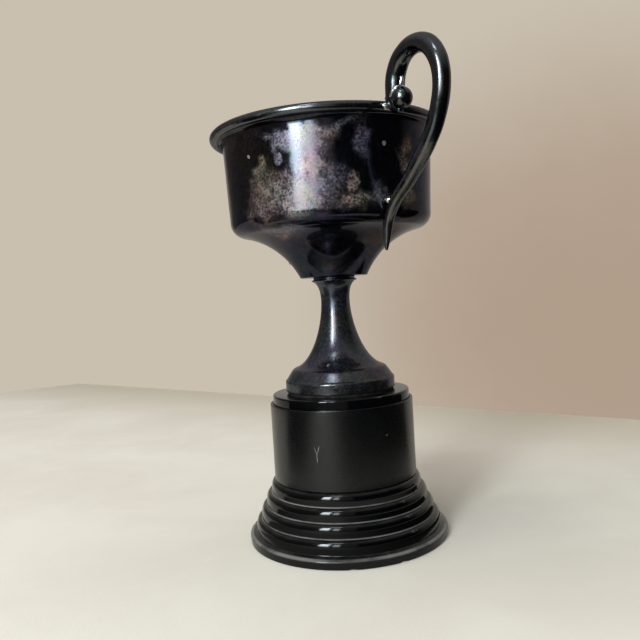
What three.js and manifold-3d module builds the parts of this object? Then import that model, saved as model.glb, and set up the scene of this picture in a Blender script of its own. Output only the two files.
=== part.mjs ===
// A two-handled cup trophy: a spun metal cup on a trumpet stem, bolted to a hollow stepped plinth.
// Millimetres, +Z up. The origin is on the cup's axis at the plinth's underside. The handles lie along X.

import * as THREE from "three";
import { mergeVertices } from "three/addons/utils/BufferGeometryUtils.js";
import Module from "manifold-3d";

const wasm = await Module();
wasm.setup();

// ---- Driving dimensions ----

const JOINT_GAP = 0.3; // left between any two pieces that seat on each other
const BOLT_CLEARANCE = 0.4; // round the stud in every hole that it passes through

// Facets and steps along each curve.
const STEPS = {
  turn: 36,
  ringRound: 4,
  footShoulder: 3,
  lowerSweep: 9,
  upperSweep: 5,
  ogee: 7,
  bowlShoulder: 6,
  flare: 3,
  wire: 12,
  ball: [20, 12],
  solder: [14, 9],
  nutBore: 12,
  lockWasher: 14,
};

const PLINTH = {
  height: 64,
  baseRadius: 44,
  bandHeight: 3.3, // the plain band that stands on the table
  ledge: 3.1, // how far the band stands out past the lowest ring
  ledgeRise: 1.1,
  footWidth: 4.4, // the flat ring under the base
  ringCount: 4,
  ringPitch: 5.55,
  ringRound: 2.8, // height of the rounded top of a ring
  ringLip: 0.15, // share of a ring's step that stays flat beside the round
  sleeveLedge: 1.7, // how far the top ring stands out past the sleeve
  drumRadius: 30.3,
  capHeight: 3.9, // what shows of the drum above the sleeve
  capRound: 0.7,
  wall: 3.8,
  topThickness: 5,
  bossDrop: 5,
};
const SLEEVE = { thickness: 1 };
// A rim here is how far a fastener reaches out past the stud.
const STUD = { radius: 3, headRim: 3, headHeight: 2, tail: 2.5 };
const WASHER = { rim: 5, thickness: 1.2 };
const LOCK_WASHER = { rim: 2.5, thickness: 1.2, slit: 1.2 };
const NUT = { rim: 2, height: 5 };
const GASKET = { inset: 0.7, thickness: 0.5 }; // its edge stays this far inside the foot's
const FOOT_PLATE = { thickness: 1.5 };

// Heights here start at the foot's underside.
const PEDESTAL = {
  height: 48.3,
  wall: 1,
  footRadius: 24.2,
  footBand: 4.5,
  footRound: 0.8,
  shoulderInset: 3.6, // how far in the foot's sloping shoulder runs
  shoulderRise: 4,
  stepIn: 1,
  stepRise: 0.6,
  waistRadius: 6.35,
  waistDepth: 8.9, // from the flange's top down to the stem's narrowest place
  flangeRadius: 10,
  flangeLip: 0.4,
};
// The stem's two sweeps are cubic curves. These are the places of their inner control points: a share of
// the sweep's spread outwards, and a share of its spread or its rise upwards.
const STEM = {
  footOut: 0.42,
  footUp: 0.14,
  waistUp: 0.62,
  throatUp: 0.35,
  flangeOut: 0.15,
  flangeDown: 0.11,
};
const FOOT_SLOPE_PULL = 0.25; // how far the foot's slope is drawn up from a straight cone
const COLLAR = { inset: 0.8, bore: 5, thickness: 0.6 }; // inset from the pedestal's flange

// Heights here start at the bowl's underside.
const BOWL = {
  height: 61.55, // up to the centre of the rim's wire
  wall: 1,
  floorRadius: 14.8,
  ogeeRadius: 35.3, // the hollow curve of the underside
  shoulderRadius: 6.2,
  shoulderHeight: 25.4, // where the shoulder's round ends and the wall begins
  wallRadius: 44,
  taper: 1.4, // how far the wall leans out from the shoulder to the flare
  flareHeight: 4.2,
  flareLead: 0.1, // the flare's control point, out from the wall and down from the lip
  flareDrop: 0.2,
};
const RIM = { wireRadius: 1.97, overhang: 3.5 }; // overhang of the wire's circle past the wall's top
const BALL = { radius: 4.05, standOff: 1.38, riseDegrees: 11.7 }; // standing off the rim's wire

// The handle's bar as [out, up, bar radius]. The scroll is placed from the centre of the rim's wire,
// and the tail from the end of the bowl's shoulder.
const SCROLL = [
  [5.4, -2.2, 1.5],
  [3.5, -0.7, 2.5],
  [2.8, 2.4, 3.3],
  [3.2, 5.5, 3.65],
  [4.5, 11.2, 3.75],
  [8.4, 16, 3.6],
  [15.5, 18.1, 3.45],
  [23.3, 15.7, 3.45],
  [28.1, 9.6, 3.4],
  [29.7, 2, 3.2],
  [27.7, -7.1, 3.15],
  [22.3, -16.2, 2.95],
];
const TAIL = [
  [15.3, 8.9, 2.75],
  [5, 1.3, 2.35],
  [-0.2, -5.2, 2.05],
  [-1.8, -11.1, 1.6],
  [-2.8, -16.6, 0.6],
];
const BAR = { sides: 10, steps: 36, tipRound: 0.8 };
const RIM_SOLDER = { out: 0.4, up: 3, size: [2, 3, 1.5] };
const TAIL_SOLDER = { out: 2, up: 0.8, size: [2, 3, 2.4] };

// ---- Heights and radii that follow from them ----

const drumTop = PLINTH.height;
const sleeveTop = drumTop - PLINTH.capHeight;
const sleeveRadius = PLINTH.drumRadius + JOINT_GAP + SLEEVE.thickness;
const ledgeTop = PLINTH.bandHeight + PLINTH.ledgeRise;
const ringsTop = ledgeTop + PLINTH.ringCount * PLINTH.ringPitch;
const topRingRadius = sleeveRadius + PLINTH.sleeveLedge;
const lowRingRadius = PLINTH.baseRadius - PLINTH.ledge;
const ringStep = (lowRingRadius - topRingRadius) / (PLINTH.ringCount - 1);
const bossBottom = drumTop - PLINTH.topThickness - PLINTH.bossDrop;
const washerTop = bossBottom - JOINT_GAP;
const lockWasherTop = washerTop - WASHER.thickness - JOINT_GAP;
const nutTop = lockWasherTop - LOCK_WASHER.thickness - JOINT_GAP;
const studBottom = nutTop - NUT.height - STUD.tail;
const gasketBottom = drumTop + JOINT_GAP;
const pedestalBottom = gasketBottom + GASKET.thickness + JOINT_GAP;
const collarBottom = pedestalBottom + PEDESTAL.height + JOINT_GAP;
const bowlBottom = collarBottom + COLLAR.thickness + JOINT_GAP;
const boltHoleRadius = STUD.radius + BOLT_CLEARANCE;
const washerRadius = STUD.radius + WASHER.rim;
const plateRadius = PEDESTAL.footRadius - PEDESTAL.wall - JOINT_GAP;
const mouthRadius = BOWL.wallRadius + BOWL.taper;
const rimRadius = mouthRadius + RIM.overhang;

// ---- Finishes ----

function finish(color, roughness, metalness) {
  return new THREE.MeshStandardMaterial({ color, roughness, metalness });
}

const tarnishedPlate = finish(0x26262c, 0.24, 1);
const wornPlate = finish(0x4a4b50, 0.28, 1);
const brightSolder = finish(0xc8c8c2, 0.3, 1);
const polishedBlack = finish(0x0b0b0d, 0.14, 0);
const satinBlack = finish(0x2a2b2a, 0.48, 0);
const blackFibre = finish(0x141312, 0.85, 0);
const plainSteel = finish(0x8c8b88, 0.4, 1);

// ---- Outlines, as lists of (radius, height) ----

const point = (radius, height) => new THREE.Vector2(radius, height);

function arc(centre, radius, fromDegrees, toDegrees, steps) {
  const [from, to] = [fromDegrees, toDegrees].map(THREE.MathUtils.degToRad);
  return new THREE.EllipseCurve(centre.x, centre.y, radius, radius, from, to, to < from).getPoints(steps);
}

// A quarter of an ellipse from a level start, outwards and down to an upright end.
function quarterRound(from, to, steps) {
  const [reach, drop] = [to.x - from.x, from.y - to.y];
  return new THREE.EllipseCurve(from.x, to.y, reach, drop, Math.PI / 2, 0, true).getPoints(steps);
}

// The outline moved sideways, to the left of its direction of travel, with mitred corners.
function offsetOutline(outline, distance) {
  const sides = outline.slice(1).map((end, i) => end.clone().sub(outline[i]).normalize());
  return outline.map((corner, i) => {
    const before = sides[Math.max(i - 1, 0)];
    const after = sides[Math.min(i, sides.length - 1)];
    const mitre = before.clone().add(after).normalize();
    return corner.clone().addScaledVector(point(-mitre.y, mitre.x), distance / mitre.dot(after));
  });
}

// ---- Geometry ----

// Turns an outline about the Z axis. It starts and ends on the axis, or it is closed with closeOutline.
function turned(outline) {
  return new THREE.LatheGeometry(outline, STEPS.turn).rotateX(Math.PI / 2);
}

const closeOutline = (outline) => [...outline, outline[0].clone()];

function turnedRing(innerRadius, outerRadius, bottom, top) {
  const corners = [
    point(innerRadius, bottom),
    point(outerRadius, bottom),
    point(outerRadius, top),
    point(innerRadius, top),
  ];
  return turned(closeOutline(corners));
}

// A round bar along the XZ plane. Each knot is (x, bar radius, z).
function taperedBar(knots, growth = 0) {
  const stations = new THREE.CatmullRomCurve3(knots, false, "centripetal").getSpacedPoints(BAR.steps);
  const centres = stations.map((s) => new THREE.Vector3(s.x, 0, s.z));
  const headings = centres.map((centre, i) => {
    const next = centres[Math.min(i + 1, BAR.steps)];
    return next.clone().sub(centres[Math.max(i - 1, 0)]).normalize();
  });
  const across = new THREE.Vector3(0, 1, 0);
  const vertices = stations.flatMap((station, i) => {
    const outward = new THREE.Vector3().crossVectors(across, headings[i]);
    return Array.from({ length: BAR.sides }, (_, side) => {
      const angle = (side / BAR.sides) * 2 * Math.PI;
      return centres[i]
        .clone()
        .addScaledVector(outward, (station.y + growth) * Math.cos(angle))
        .addScaledVector(across, (station.y + growth) * Math.sin(angle));
    });
  });
  const faces = [];
  for (let ring = 0; ring < BAR.steps; ring++) {
    for (let side = 0; side < BAR.sides; side++) {
      const [a, b] = [side, (side + 1) % BAR.sides].map((k) => ring * BAR.sides + k);
      faces.push(a, b, b + BAR.sides, a, b + BAR.sides, a + BAR.sides);
    }
  }
  for (const [ring, direction] of [[0, -1], [BAR.steps, 1]]) {
    const reach = direction * BAR.tipRound * stations[ring].y;
    vertices.push(centres[ring].clone().addScaledVector(headings[ring], reach));
    for (let side = 0; side < BAR.sides; side++) {
      const [a, b] = [side, (side + 1) % BAR.sides].map((k) => ring * BAR.sides + k);
      faces.push(vertices.length - 1, ...(direction > 0 ? [a, b] : [b, a]));
    }
  }
  return new THREE.BufferGeometry().setFromPoints(vertices).setIndex(faces);
}

function blob([x, y, z], centre) {
  return new THREE.SphereGeometry(1, ...STEPS.solder).scale(x, y, z).translate(centre.x, 0, centre.y);
}

// ---- Cutting one shape by another ----

function solidOf(geometry) {
  const bare = new THREE.BufferGeometry().setAttribute("position", geometry.getAttribute("position"));
  bare.setIndex(geometry.index);
  const merged = mergeVertices(bare, 1e-4);
  return new wasm.Manifold(
    new wasm.Mesh({
      numProp: 3,
      vertProperties: new Float32Array(merged.getAttribute("position").array),
      triVerts: new Uint32Array(merged.index.array),
    }),
  );
}

function geometryOf(solid) {
  const mesh = solid.getMesh();
  return new THREE.BufferGeometry()
    .setAttribute("position", new THREE.BufferAttribute(mesh.vertProperties, 3))
    .setIndex(new THREE.BufferAttribute(mesh.triVerts, 1));
}

function cutBy(geometry, ...cutters) {
  const left = cutters.reduce((solid, cutter) => solid.subtract(solidOf(cutter)), solidOf(geometry));
  const largestFirst = left.decompose().sort((a, b) => b.volume() - a.volume());
  return geometryOf(largestFirst[0]);
}

// ---- The plinth and what clamps the cup to it ----

function plinthBody() {
  const { baseRadius, bandHeight, drumRadius, wall, footWidth, ringRound, ringLip } = PLINTH;
  const outside = [point(baseRadius, 0), point(baseRadius, bandHeight), point(lowRingRadius, ledgeTop)];
  for (let ring = PLINTH.ringCount - 1; ring >= 0; ring--) {
    const radius = topRingRadius + ring * ringStep;
    const top = ledgeTop + (PLINTH.ringCount - ring) * PLINTH.ringPitch;
    const innerEdge = ring > 0 ? radius - ringStep : sleeveRadius - SLEEVE.thickness;
    const crown = point(innerEdge + (radius - innerEdge) * ringLip, top);
    const side = quarterRound(crown, point(radius, top - ringRound), STEPS.ringRound).reverse();
    outside.push(...side, point(innerEdge, top));
  }
  outside.pop(); // the drum rises straight from the top ring
  outside.push(point(drumRadius, ringsTop), point(drumRadius, drumTop - PLINTH.capRound));
  outside.push(point(drumRadius - PLINTH.capRound, drumTop), point(boltHoleRadius, drumTop));
  const underTop = drumTop - PLINTH.topThickness;
  const inside = [
    point(boltHoleRadius, bossBottom),
    point(washerRadius, bossBottom),
    point(washerRadius, underTop),
    point(drumRadius - wall, underTop),
    point(drumRadius - wall, ringsTop - wall),
    point(baseRadius - footWidth, bandHeight),
    point(baseRadius - footWidth, 0),
  ];
  return turned(closeOutline([...outside, ...inside]));
}

function hexNut() {
  const corner = (STUD.radius + NUT.rim) / Math.cos(Math.PI / 6);
  const outline = new THREE.Shape();
  for (let i = 0; i < 6; i++) {
    const angle = (i * Math.PI) / 3;
    outline[i ? "lineTo" : "moveTo"](corner * Math.cos(angle), corner * Math.sin(angle));
  }
  outline.closePath();
  outline.holes.push(new THREE.Path().absarc(0, 0, STUD.radius + JOINT_GAP, 0, 2 * Math.PI));
  const curveSegments = STEPS.nutBore;
  return new THREE.ExtrudeGeometry(outline, { depth: NUT.height, bevelEnabled: false, curveSegments });
}

function splitWasher() {
  const halfSlit = LOCK_WASHER.slit / 2 / boltHoleRadius;
  const radius = STUD.radius + LOCK_WASHER.rim;
  const outline = new THREE.Shape();
  outline.absarc(0, 0, radius, halfSlit, 2 * Math.PI - halfSlit, false);
  outline.absarc(0, 0, boltHoleRadius, 2 * Math.PI - halfSlit, halfSlit, true);
  outline.closePath();
  const depth = LOCK_WASHER.thickness;
  const curveSegments = STEPS.lockWasher;
  return new THREE.ExtrudeGeometry(outline, { depth, bevelEnabled: false, curveSegments });
}

function tieStud() {
  const headBottom = pedestalBottom + FOOT_PLATE.thickness + JOINT_GAP;
  const headRadius = STUD.radius + STUD.headRim;
  return turned([
    point(0, studBottom),
    point(STUD.radius, studBottom),
    point(STUD.radius, headBottom),
    point(headRadius, headBottom),
    point(headRadius, headBottom + STUD.headHeight),
    point(0, headBottom + STUD.headHeight),
  ]);
}

// ---- The pedestal: a spun shell, open below and closed under the bowl ----

function stemOutline(stemFoot) {
  const { height, waistRadius, flangeRadius } = PEDESTAL;
  const waist = point(waistRadius, height - PEDESTAL.waistDepth);
  const flange = point(flangeRadius, height - PEDESTAL.flangeLip);
  const spread = stemFoot.x - waistRadius;
  const throatRise = flange.y - waist.y;
  const lowerSweep = new THREE.CubicBezierCurve(
    stemFoot,
    point(waistRadius + STEM.footOut * spread, stemFoot.y + STEM.footUp * spread),
    point(waistRadius, stemFoot.y + STEM.waistUp * (waist.y - stemFoot.y)),
    waist,
  );
  const upperSweep = new THREE.CubicBezierCurve(
    waist,
    point(waistRadius, waist.y + STEM.throatUp * throatRise),
    point(
      waistRadius + STEM.flangeOut * (flangeRadius - waistRadius),
      flange.y - STEM.flangeDown * throatRise,
    ),
    flange,
  );
  return [...lowerSweep.getPoints(STEPS.lowerSweep), ...upperSweep.getPoints(STEPS.upperSweep).slice(1)];
}

function pedestalShell() {
  const { height, wall, footRadius, footBand, footRound, shoulderInset, shoulderRise } = PEDESTAL;
  const shoulderRadius = footRadius - shoulderInset;
  const shoulderTop = footBand + footRound + shoulderRise;
  const stem = stemOutline(point(shoulderRadius - PEDESTAL.stepIn, shoulderTop + PEDESTAL.stepRise));
  const slopeBend = point(
    shoulderRadius + FOOT_SLOPE_PULL * shoulderInset,
    shoulderTop - FOOT_SLOPE_PULL * shoulderRise,
  );
  const shoulder = new THREE.QuadraticBezierCurve(
    point(footRadius - footRound, footBand + footRound),
    slopeBend,
    point(shoulderRadius, shoulderTop),
  );
  const outside = [
    point(footRadius, 0),
    point(footRadius, footBand),
    ...shoulder.getPoints(STEPS.footShoulder),
    ...stem,
    point(PEDESTAL.flangeRadius, height),
    point(0, height),
  ];
  const crown = offsetOutline(stem, wall).filter((p) => p.y < height - 2 * wall);
  const inside = [
    point(0, crown.at(-1).y),
    ...crown.reverse(),
    point(shoulderRadius - wall, shoulderTop - wall),
    point(footRadius - wall, footBand),
    point(footRadius - wall, 0),
  ];
  return turned(closeOutline([...outside, ...inside]));
}

// ---- The bowl ----

// The bowl's skin from its axis outwards and up to the lip. growth moves it outwards.
function bowlOutline(growth = 0) {
  const { floorRadius, ogeeRadius, shoulderRadius, shoulderHeight, wallRadius } = BOWL;
  const floorEdge = point(floorRadius, 0);
  const shoulderCentre = point(wallRadius - shoulderRadius, shoulderHeight);
  // The ogee's centre lies ogeeRadius from the floor's edge and meets the shoulder in one smooth line.
  const toShoulder = shoulderCentre.clone().sub(floorEdge);
  const distance = toShoulder.length();
  const reach = ogeeRadius + shoulderRadius;
  const along = (distance ** 2 + ogeeRadius ** 2 - reach ** 2) / (2 * distance);
  const aside = Math.sqrt(ogeeRadius ** 2 - along ** 2);
  const unit = toShoulder.normalize();
  const ogeeCentre = point(unit.x * along + unit.y * aside, unit.y * along - unit.x * aside).add(floorEdge);
  const heading = (from, to) => THREE.MathUtils.radToDeg(to.clone().sub(from).angle());
  const ogeeStart = heading(ogeeCentre, floorEdge);
  const ogeeEnd = heading(ogeeCentre, shoulderCentre);
  const lip = point(rimRadius - RIM.wireRadius - JOINT_GAP, BOWL.height - RIM.wireRadius / 2);
  const flareStart = point(mouthRadius, BOWL.height - BOWL.flareHeight);
  const flareBend = point(mouthRadius + BOWL.flareLead, lip.y - BOWL.flareDrop);
  const outline = [
    point(0, 0),
    ...arc(ogeeCentre, ogeeRadius, ogeeStart, ogeeEnd, STEPS.ogee),
    ...arc(shoulderCentre, shoulderRadius, ogeeEnd - 180, 0, STEPS.bowlShoulder).slice(1),
    ...new THREE.QuadraticBezierCurve(flareStart, flareBend, lip).getPoints(STEPS.flare),
  ];
  return growth ? offsetOutline(outline, -growth) : outline;
}

function bowlShell() {
  const outside = bowlOutline();
  return turned([...outside, ...offsetOutline(outside, BOWL.wall).reverse()]);
}

// The space that a piece fixed to the bowl's outside has to leave free.
function grownBowl() {
  const outline = bowlOutline(JOINT_GAP);
  outline[0].x = 0;
  return turned([...outline, point(0, BOWL.height + RIM.wireRadius)]);
}

function rimWire(growth = 0) {
  const wire = new THREE.TorusGeometry(rimRadius, RIM.wireRadius + growth, STEPS.wire, STEPS.turn);
  return wire.translate(0, 0, BOWL.height);
}

// ---- A handle, its ball and its solder, all on the +X side of the bowl ----

const rimPoint = (out, up) => point(rimRadius + out, BOWL.height + up);
const shoulderPoint = (out, up) => point(BOWL.wallRadius + out, BOWL.shoulderHeight + up);

const handleKnots = [
  ...SCROLL.map(([out, up, radius]) => [rimPoint(out, up), radius]),
  ...TAIL.map(([out, up, radius]) => [shoulderPoint(out, up), radius]),
].map(([place, radius]) => new THREE.Vector3(place.x, radius, place.y));

function terminalBall(growth = 0) {
  const reach = RIM.wireRadius + BALL.standOff + BALL.radius;
  const rise = THREE.MathUtils.degToRad(BALL.riseDegrees);
  const centre = rimPoint(reach * Math.cos(rise), reach * Math.sin(rise));
  return new THREE.SphereGeometry(BALL.radius + growth, ...STEPS.ball).translate(centre.x, 0, centre.y);
}

function handlePieces(side) {
  const bowlSpace = grownBowl();
  const rimSpace = rimWire(JOINT_GAP);
  const ballSpace = terminalBall(JOINT_GAP);
  const barSpace = taperedBar(handleKnots, JOINT_GAP);
  const rimJoint = rimPoint(RIM_SOLDER.out, RIM_SOLDER.up);
  const tailJoint = shoulderPoint(TAIL_SOLDER.out, TAIL_SOLDER.up);
  const bar = cutBy(taperedBar(handleKnots), bowlSpace, rimSpace, ballSpace);
  const rimSolder = cutBy(blob(RIM_SOLDER.size, rimJoint), bowlSpace, rimSpace, ballSpace, barSpace);
  const tailSolder = cutBy(blob(TAIL_SOLDER.size, tailJoint), bowlSpace, barSpace);
  return [
    piece(`handle_${side}`, bar, wornPlate),
    piece(`handle_ball_${side}`, terminalBall(), wornPlate),
    piece(`rim_solder_${side}`, rimSolder, brightSolder),
    piece(`tail_solder_${side}`, tailSolder, brightSolder),
  ];
}

// ---- Assembly ----

function piece(name, geometry, material, height = 0) {
  const mesh = new THREE.Mesh(geometry, material);
  mesh.name = name;
  mesh.position.z = height;
  return mesh;
}

function at(height, ...members) {
  const group = new THREE.Group().add(...members);
  group.position.z = height;
  return group;
}

const plinth = at(
  0,
  piece("plinth_body", plinthBody(), polishedBlack),
  piece(
    "plinth_sleeve",
    turnedRing(PLINTH.drumRadius + JOINT_GAP, sleeveRadius, ringsTop + JOINT_GAP, sleeveTop),
    satinBlack,
  ),
);

const clamp = at(
  0,
  piece("tie_stud", tieStud(), plainSteel),
  piece(
    "plinth_washer",
    turnedRing(boltHoleRadius, washerRadius, washerTop - WASHER.thickness, washerTop),
    plainSteel,
  ),
  piece("lock_washer", splitWasher(), plainSteel, lockWasherTop - LOCK_WASHER.thickness),
  piece("plinth_nut", hexNut(), plainSteel, nutTop - NUT.height),
  piece(
    "foot_gasket",
    turnedRing(
      boltHoleRadius,
      PEDESTAL.footRadius - GASKET.inset,
      gasketBottom,
      gasketBottom + GASKET.thickness,
    ),
    blackFibre,
  ),
);

const pedestal = at(
  pedestalBottom,
  piece("pedestal", pedestalShell(), tarnishedPlate),
  piece("foot_plate", turnedRing(boltHoleRadius, plateRadius, 0, FOOT_PLATE.thickness), plainSteel),
);

const collar = at(
  collarBottom,
  piece(
    "bowl_collar",
    turnedRing(COLLAR.bore, PEDESTAL.flangeRadius - COLLAR.inset, 0, COLLAR.thickness),
    wornPlate,
  ),
);

const leftHandle = at(0, ...handlePieces("left"));
leftHandle.rotation.z = Math.PI;
const bowl = at(
  bowlBottom,
  piece("bowl", bowlShell(), tarnishedPlate),
  piece("rim_bead", rimWire(), wornPlate),
  at(0, ...handlePieces("right")),
  leftHandle,
);

export default at(0, plinth, clamp, pedestal, collar, bowl);
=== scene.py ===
"""A two-handled cup trophy on a stepped plinth: the fine surfaces and finishes that go over its CAD frame.

Sizes are in millimetres, as on a maker's drawing, and become metres when a mesh is made. The cup's axis is Z,
and its handles lie along X. An azimuth is measured in degrees round the axis from +X.
"""

import logging
import math
from collections.abc import Iterable, Sequence
from dataclasses import dataclass, field
from enum import Enum

import bmesh
import bpy
from mathutils import Matrix, Vector, noise


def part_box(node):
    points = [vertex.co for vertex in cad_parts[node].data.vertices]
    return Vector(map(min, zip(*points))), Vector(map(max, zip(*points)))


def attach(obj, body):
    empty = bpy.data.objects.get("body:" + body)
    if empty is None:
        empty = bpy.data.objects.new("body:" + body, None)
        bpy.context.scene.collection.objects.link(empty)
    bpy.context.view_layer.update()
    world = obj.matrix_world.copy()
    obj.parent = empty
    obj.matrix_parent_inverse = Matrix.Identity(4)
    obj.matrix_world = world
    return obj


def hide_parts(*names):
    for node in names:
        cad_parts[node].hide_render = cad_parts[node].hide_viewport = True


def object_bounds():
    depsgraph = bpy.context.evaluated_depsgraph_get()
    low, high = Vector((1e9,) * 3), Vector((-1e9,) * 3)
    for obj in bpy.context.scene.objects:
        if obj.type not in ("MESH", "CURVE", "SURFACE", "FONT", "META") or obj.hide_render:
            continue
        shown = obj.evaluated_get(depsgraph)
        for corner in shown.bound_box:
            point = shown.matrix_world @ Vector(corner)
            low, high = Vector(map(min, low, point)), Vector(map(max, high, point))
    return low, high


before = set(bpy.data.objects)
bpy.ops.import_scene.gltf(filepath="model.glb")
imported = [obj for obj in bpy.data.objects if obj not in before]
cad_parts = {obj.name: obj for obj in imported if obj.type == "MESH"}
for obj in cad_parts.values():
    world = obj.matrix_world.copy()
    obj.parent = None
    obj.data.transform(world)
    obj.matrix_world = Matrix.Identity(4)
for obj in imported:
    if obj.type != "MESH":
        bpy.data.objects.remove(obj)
CAD_BOX = [list(corner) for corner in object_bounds()]

log = logging.getLogger("cup_trophy")

MILLIMETRE = 0.001

Point = tuple[float, float]
Corner = tuple[float, float, float]
Colour = tuple[float, float, float]
Place = tuple[float, float, float]
Knot = tuple[float, float, float]
Ridge = tuple[float, float, float]


class Slot(Enum):
    """The record's material slots."""

    PLATE = "tarnished_plate"
    PEWTER = "dark_pewter"
    SOLDER = "bright_solder"
    MOULDING = "black_moulding"
    SATIN = "satin_black"
    FIBRE = "black_fibre"
    STEEL = "plain_steel"


class Side(Enum):
    """The two sides that a handle can stand on, as turns about the cup's axis in degrees."""

    RIGHT = 0
    LEFT = 180


# ---- Outlines of turned pieces, as (radius, height) ----

ROUNDING_SHARE = 0.45  # the most of a side that the rounding of one corner takes


def arc(centre: Point, radius: float, start: float, end: float, steps: int) -> list[Point]:
    """Points along a circular arc.

    Args:
        centre: the arc's centre.
        radius: its radius.
        start: the angle of its first point, in degrees.
        end: the angle of its last point, in degrees.
        steps: how many stretches it is made of.

    Returns:
        The points, both ends included.
    """
    angles = [math.radians(start + (end - start) * i / steps) for i in range(steps + 1)]
    return [(centre[0] + radius * math.cos(a), centre[1] + radius * math.sin(a)) for a in angles]


def along_bezier(controls: Sequence[Vector], share: float) -> Vector:
    """A point on a Bezier curve of any order.

    Args:
        controls: its control points.
        share: where along it the point is, from 0 to 1.

    Returns:
        The point.
    """
    left = controls
    while len(left) > 1:
        left = [a.lerp(b, share) for a, b in zip(left, left[1:])]
    return left[0]


def bezier(controls: Sequence[Point], steps: int) -> list[Point]:
    """Points along a Bezier curve of any order.

    Args:
        controls: its control points.
        steps: how many stretches it is made of.

    Returns:
        The points, both ends included.
    """
    points = [Vector(p) for p in controls]
    curve = [along_bezier(points, i / steps) for i in range(steps + 1)]
    return [(point.x, point.y) for point in curve]


def softened(corners: Sequence[Corner | Point], closed: bool = False, steps: int = 5) -> list[Point]:
    """An outline whose corners are rounded off.

    Args:
        corners: (radius, height, rounding) for a rounded corner, or (radius, height) for a plain point.
        closed: whether the last corner joins the first.
        steps: how many stretches each rounding is made of.

    Returns:
        The outline's points.
    """
    outline: list[Point] = []
    count = len(corners)
    for i, corner in enumerate(corners):
        here = Vector(corner[:2])
        inner = closed or 0 < i < count - 1
        rounding = corner[2] if len(corner) > 2 and inner else 0.0
        if not rounding:
            outline.append((here.x, here.y))
            continue
        ends = []
        for other in (corners[i - 1], corners[(i + 1) % count]):
            way = Vector(other[:2]) - here
            taken = min(rounding, ROUNDING_SHARE * way.length)
            ends.append(here + way.normalized() * taken)
        outline += bezier([tuple(ends[0]), tuple(here), tuple(ends[1])], steps)
    return outline


def offset(outline: Sequence[Point], distance: float) -> list[Point]:
    """An outline moved to the left of its direction of travel, with mitred corners.

    Args:
        outline: the outline's points.
        distance: how far it moves.

    Returns:
        The moved outline's points.
    """
    points = [Vector(p) for p in outline]
    sides = [(b - a).normalized() for a, b in zip(points, points[1:])]
    moved = []
    for i, here in enumerate(points):
        before = sides[max(i - 1, 0)]
        after = sides[min(i, len(sides) - 1)]
        mitre = (before + after).normalized()
        here = here + Vector((-mitre.y, mitre.x)) * (distance / mitre.dot(after))
        moved.append((here.x, here.y))
    return moved


# ---- Meshes ----

TURN_STEPS = 144
MERGE_DISTANCE = 1e-6
FULL_TURN = 2 * math.pi
LUMP_DEPTH = 0.16  # of a blob's size
LUMP_SPREAD = 1.3


def plotted(mesh: bmesh.types.BMesh, outline: Sequence[Point]) -> list[bmesh.types.BMVert]:
    """Adds an outline's points to a mesh, in the XZ plane."""
    return [mesh.verts.new((radius * MILLIMETRE, 0, height * MILLIMETRE)) for radius, height in outline]


def spun(mesh: bmesh.types.BMesh, geom: Sequence, angle: float = FULL_TURN, steps: int = TURN_STEPS) -> None:
    """Spins a part of a mesh about the Z axis. A full turn is merged where it meets itself.

    Args:
        mesh: the mesh, which is changed.
        geom: the vertices, edges and faces that are spun.
        angle: how far they go, in radians.
        steps: facets along the way.
    """
    bmesh.ops.spin(
        mesh,
        geom=geom,
        cent=(0, 0, 0),
        axis=(0, 0, 1),
        angle=angle,
        steps=steps,
        use_merge=angle == FULL_TURN,
    )


def turned(outline: Sequence[Point], closed: bool = False, steps: int = TURN_STEPS) -> bmesh.types.BMesh:
    """Turns an outline about the Z axis.

    Args:
        outline: its (radius, height) points, which start and end on the axis unless closed is set.
        closed: whether the outline's last point joins its first.
        steps: facets round the piece.

    Returns:
        The closed mesh, with its faces pointing outwards.
    """
    mesh = bmesh.new()
    verts = plotted(mesh, outline)
    pairs = list(zip(verts, verts[1:]))
    if closed:
        pairs.append((verts[-1], verts[0]))
    edges = [mesh.edges.new(pair) for pair in pairs]
    spun(mesh, verts + edges, steps=steps)
    bmesh.ops.remove_doubles(mesh, verts=mesh.verts, dist=MERGE_DISTANCE)
    bmesh.ops.dissolve_degenerate(mesh, edges=mesh.edges, dist=MERGE_DISTANCE)
    bmesh.ops.recalc_face_normals(mesh, faces=mesh.faces)
    return mesh


def disc(inner: float, outer: float, bottom: float, top: float, rounding: float) -> bmesh.types.BMesh:
    """A flat ring with rounded edges.

    Args:
        inner: the hole's radius.
        outer: the ring's radius.
        bottom: its underside's height.
        top: its upper side's height.
        rounding: how far its edges are rounded off.

    Returns:
        The closed mesh.
    """
    corners = [(inner, bottom), (outer, bottom), (outer, top), (inner, top)]
    return turned(softened([(*corner, rounding) for corner in corners], closed=True), closed=True)


def ruffled(mesh: bmesh.types.BMesh, depth: float, spread: float, seed: float) -> None:
    """Moves a mesh's surface in and out a little, as handwork and knocks leave it.

    Args:
        mesh: the mesh, which is changed.
        depth: the furthest that a point moves.
        spread: about how far apart the bumps are.
        seed: which of many patterns is used.
    """
    mesh.normal_update()
    shift = Vector((seed, -seed, 2 * seed))
    moves = [
        (vert, vert.normal * noise.noise(vert.co / (spread * MILLIMETRE) + shift) * depth * MILLIMETRE)
        for vert in mesh.verts
    ]
    for vert, move in moves:
        vert.co += move


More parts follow.
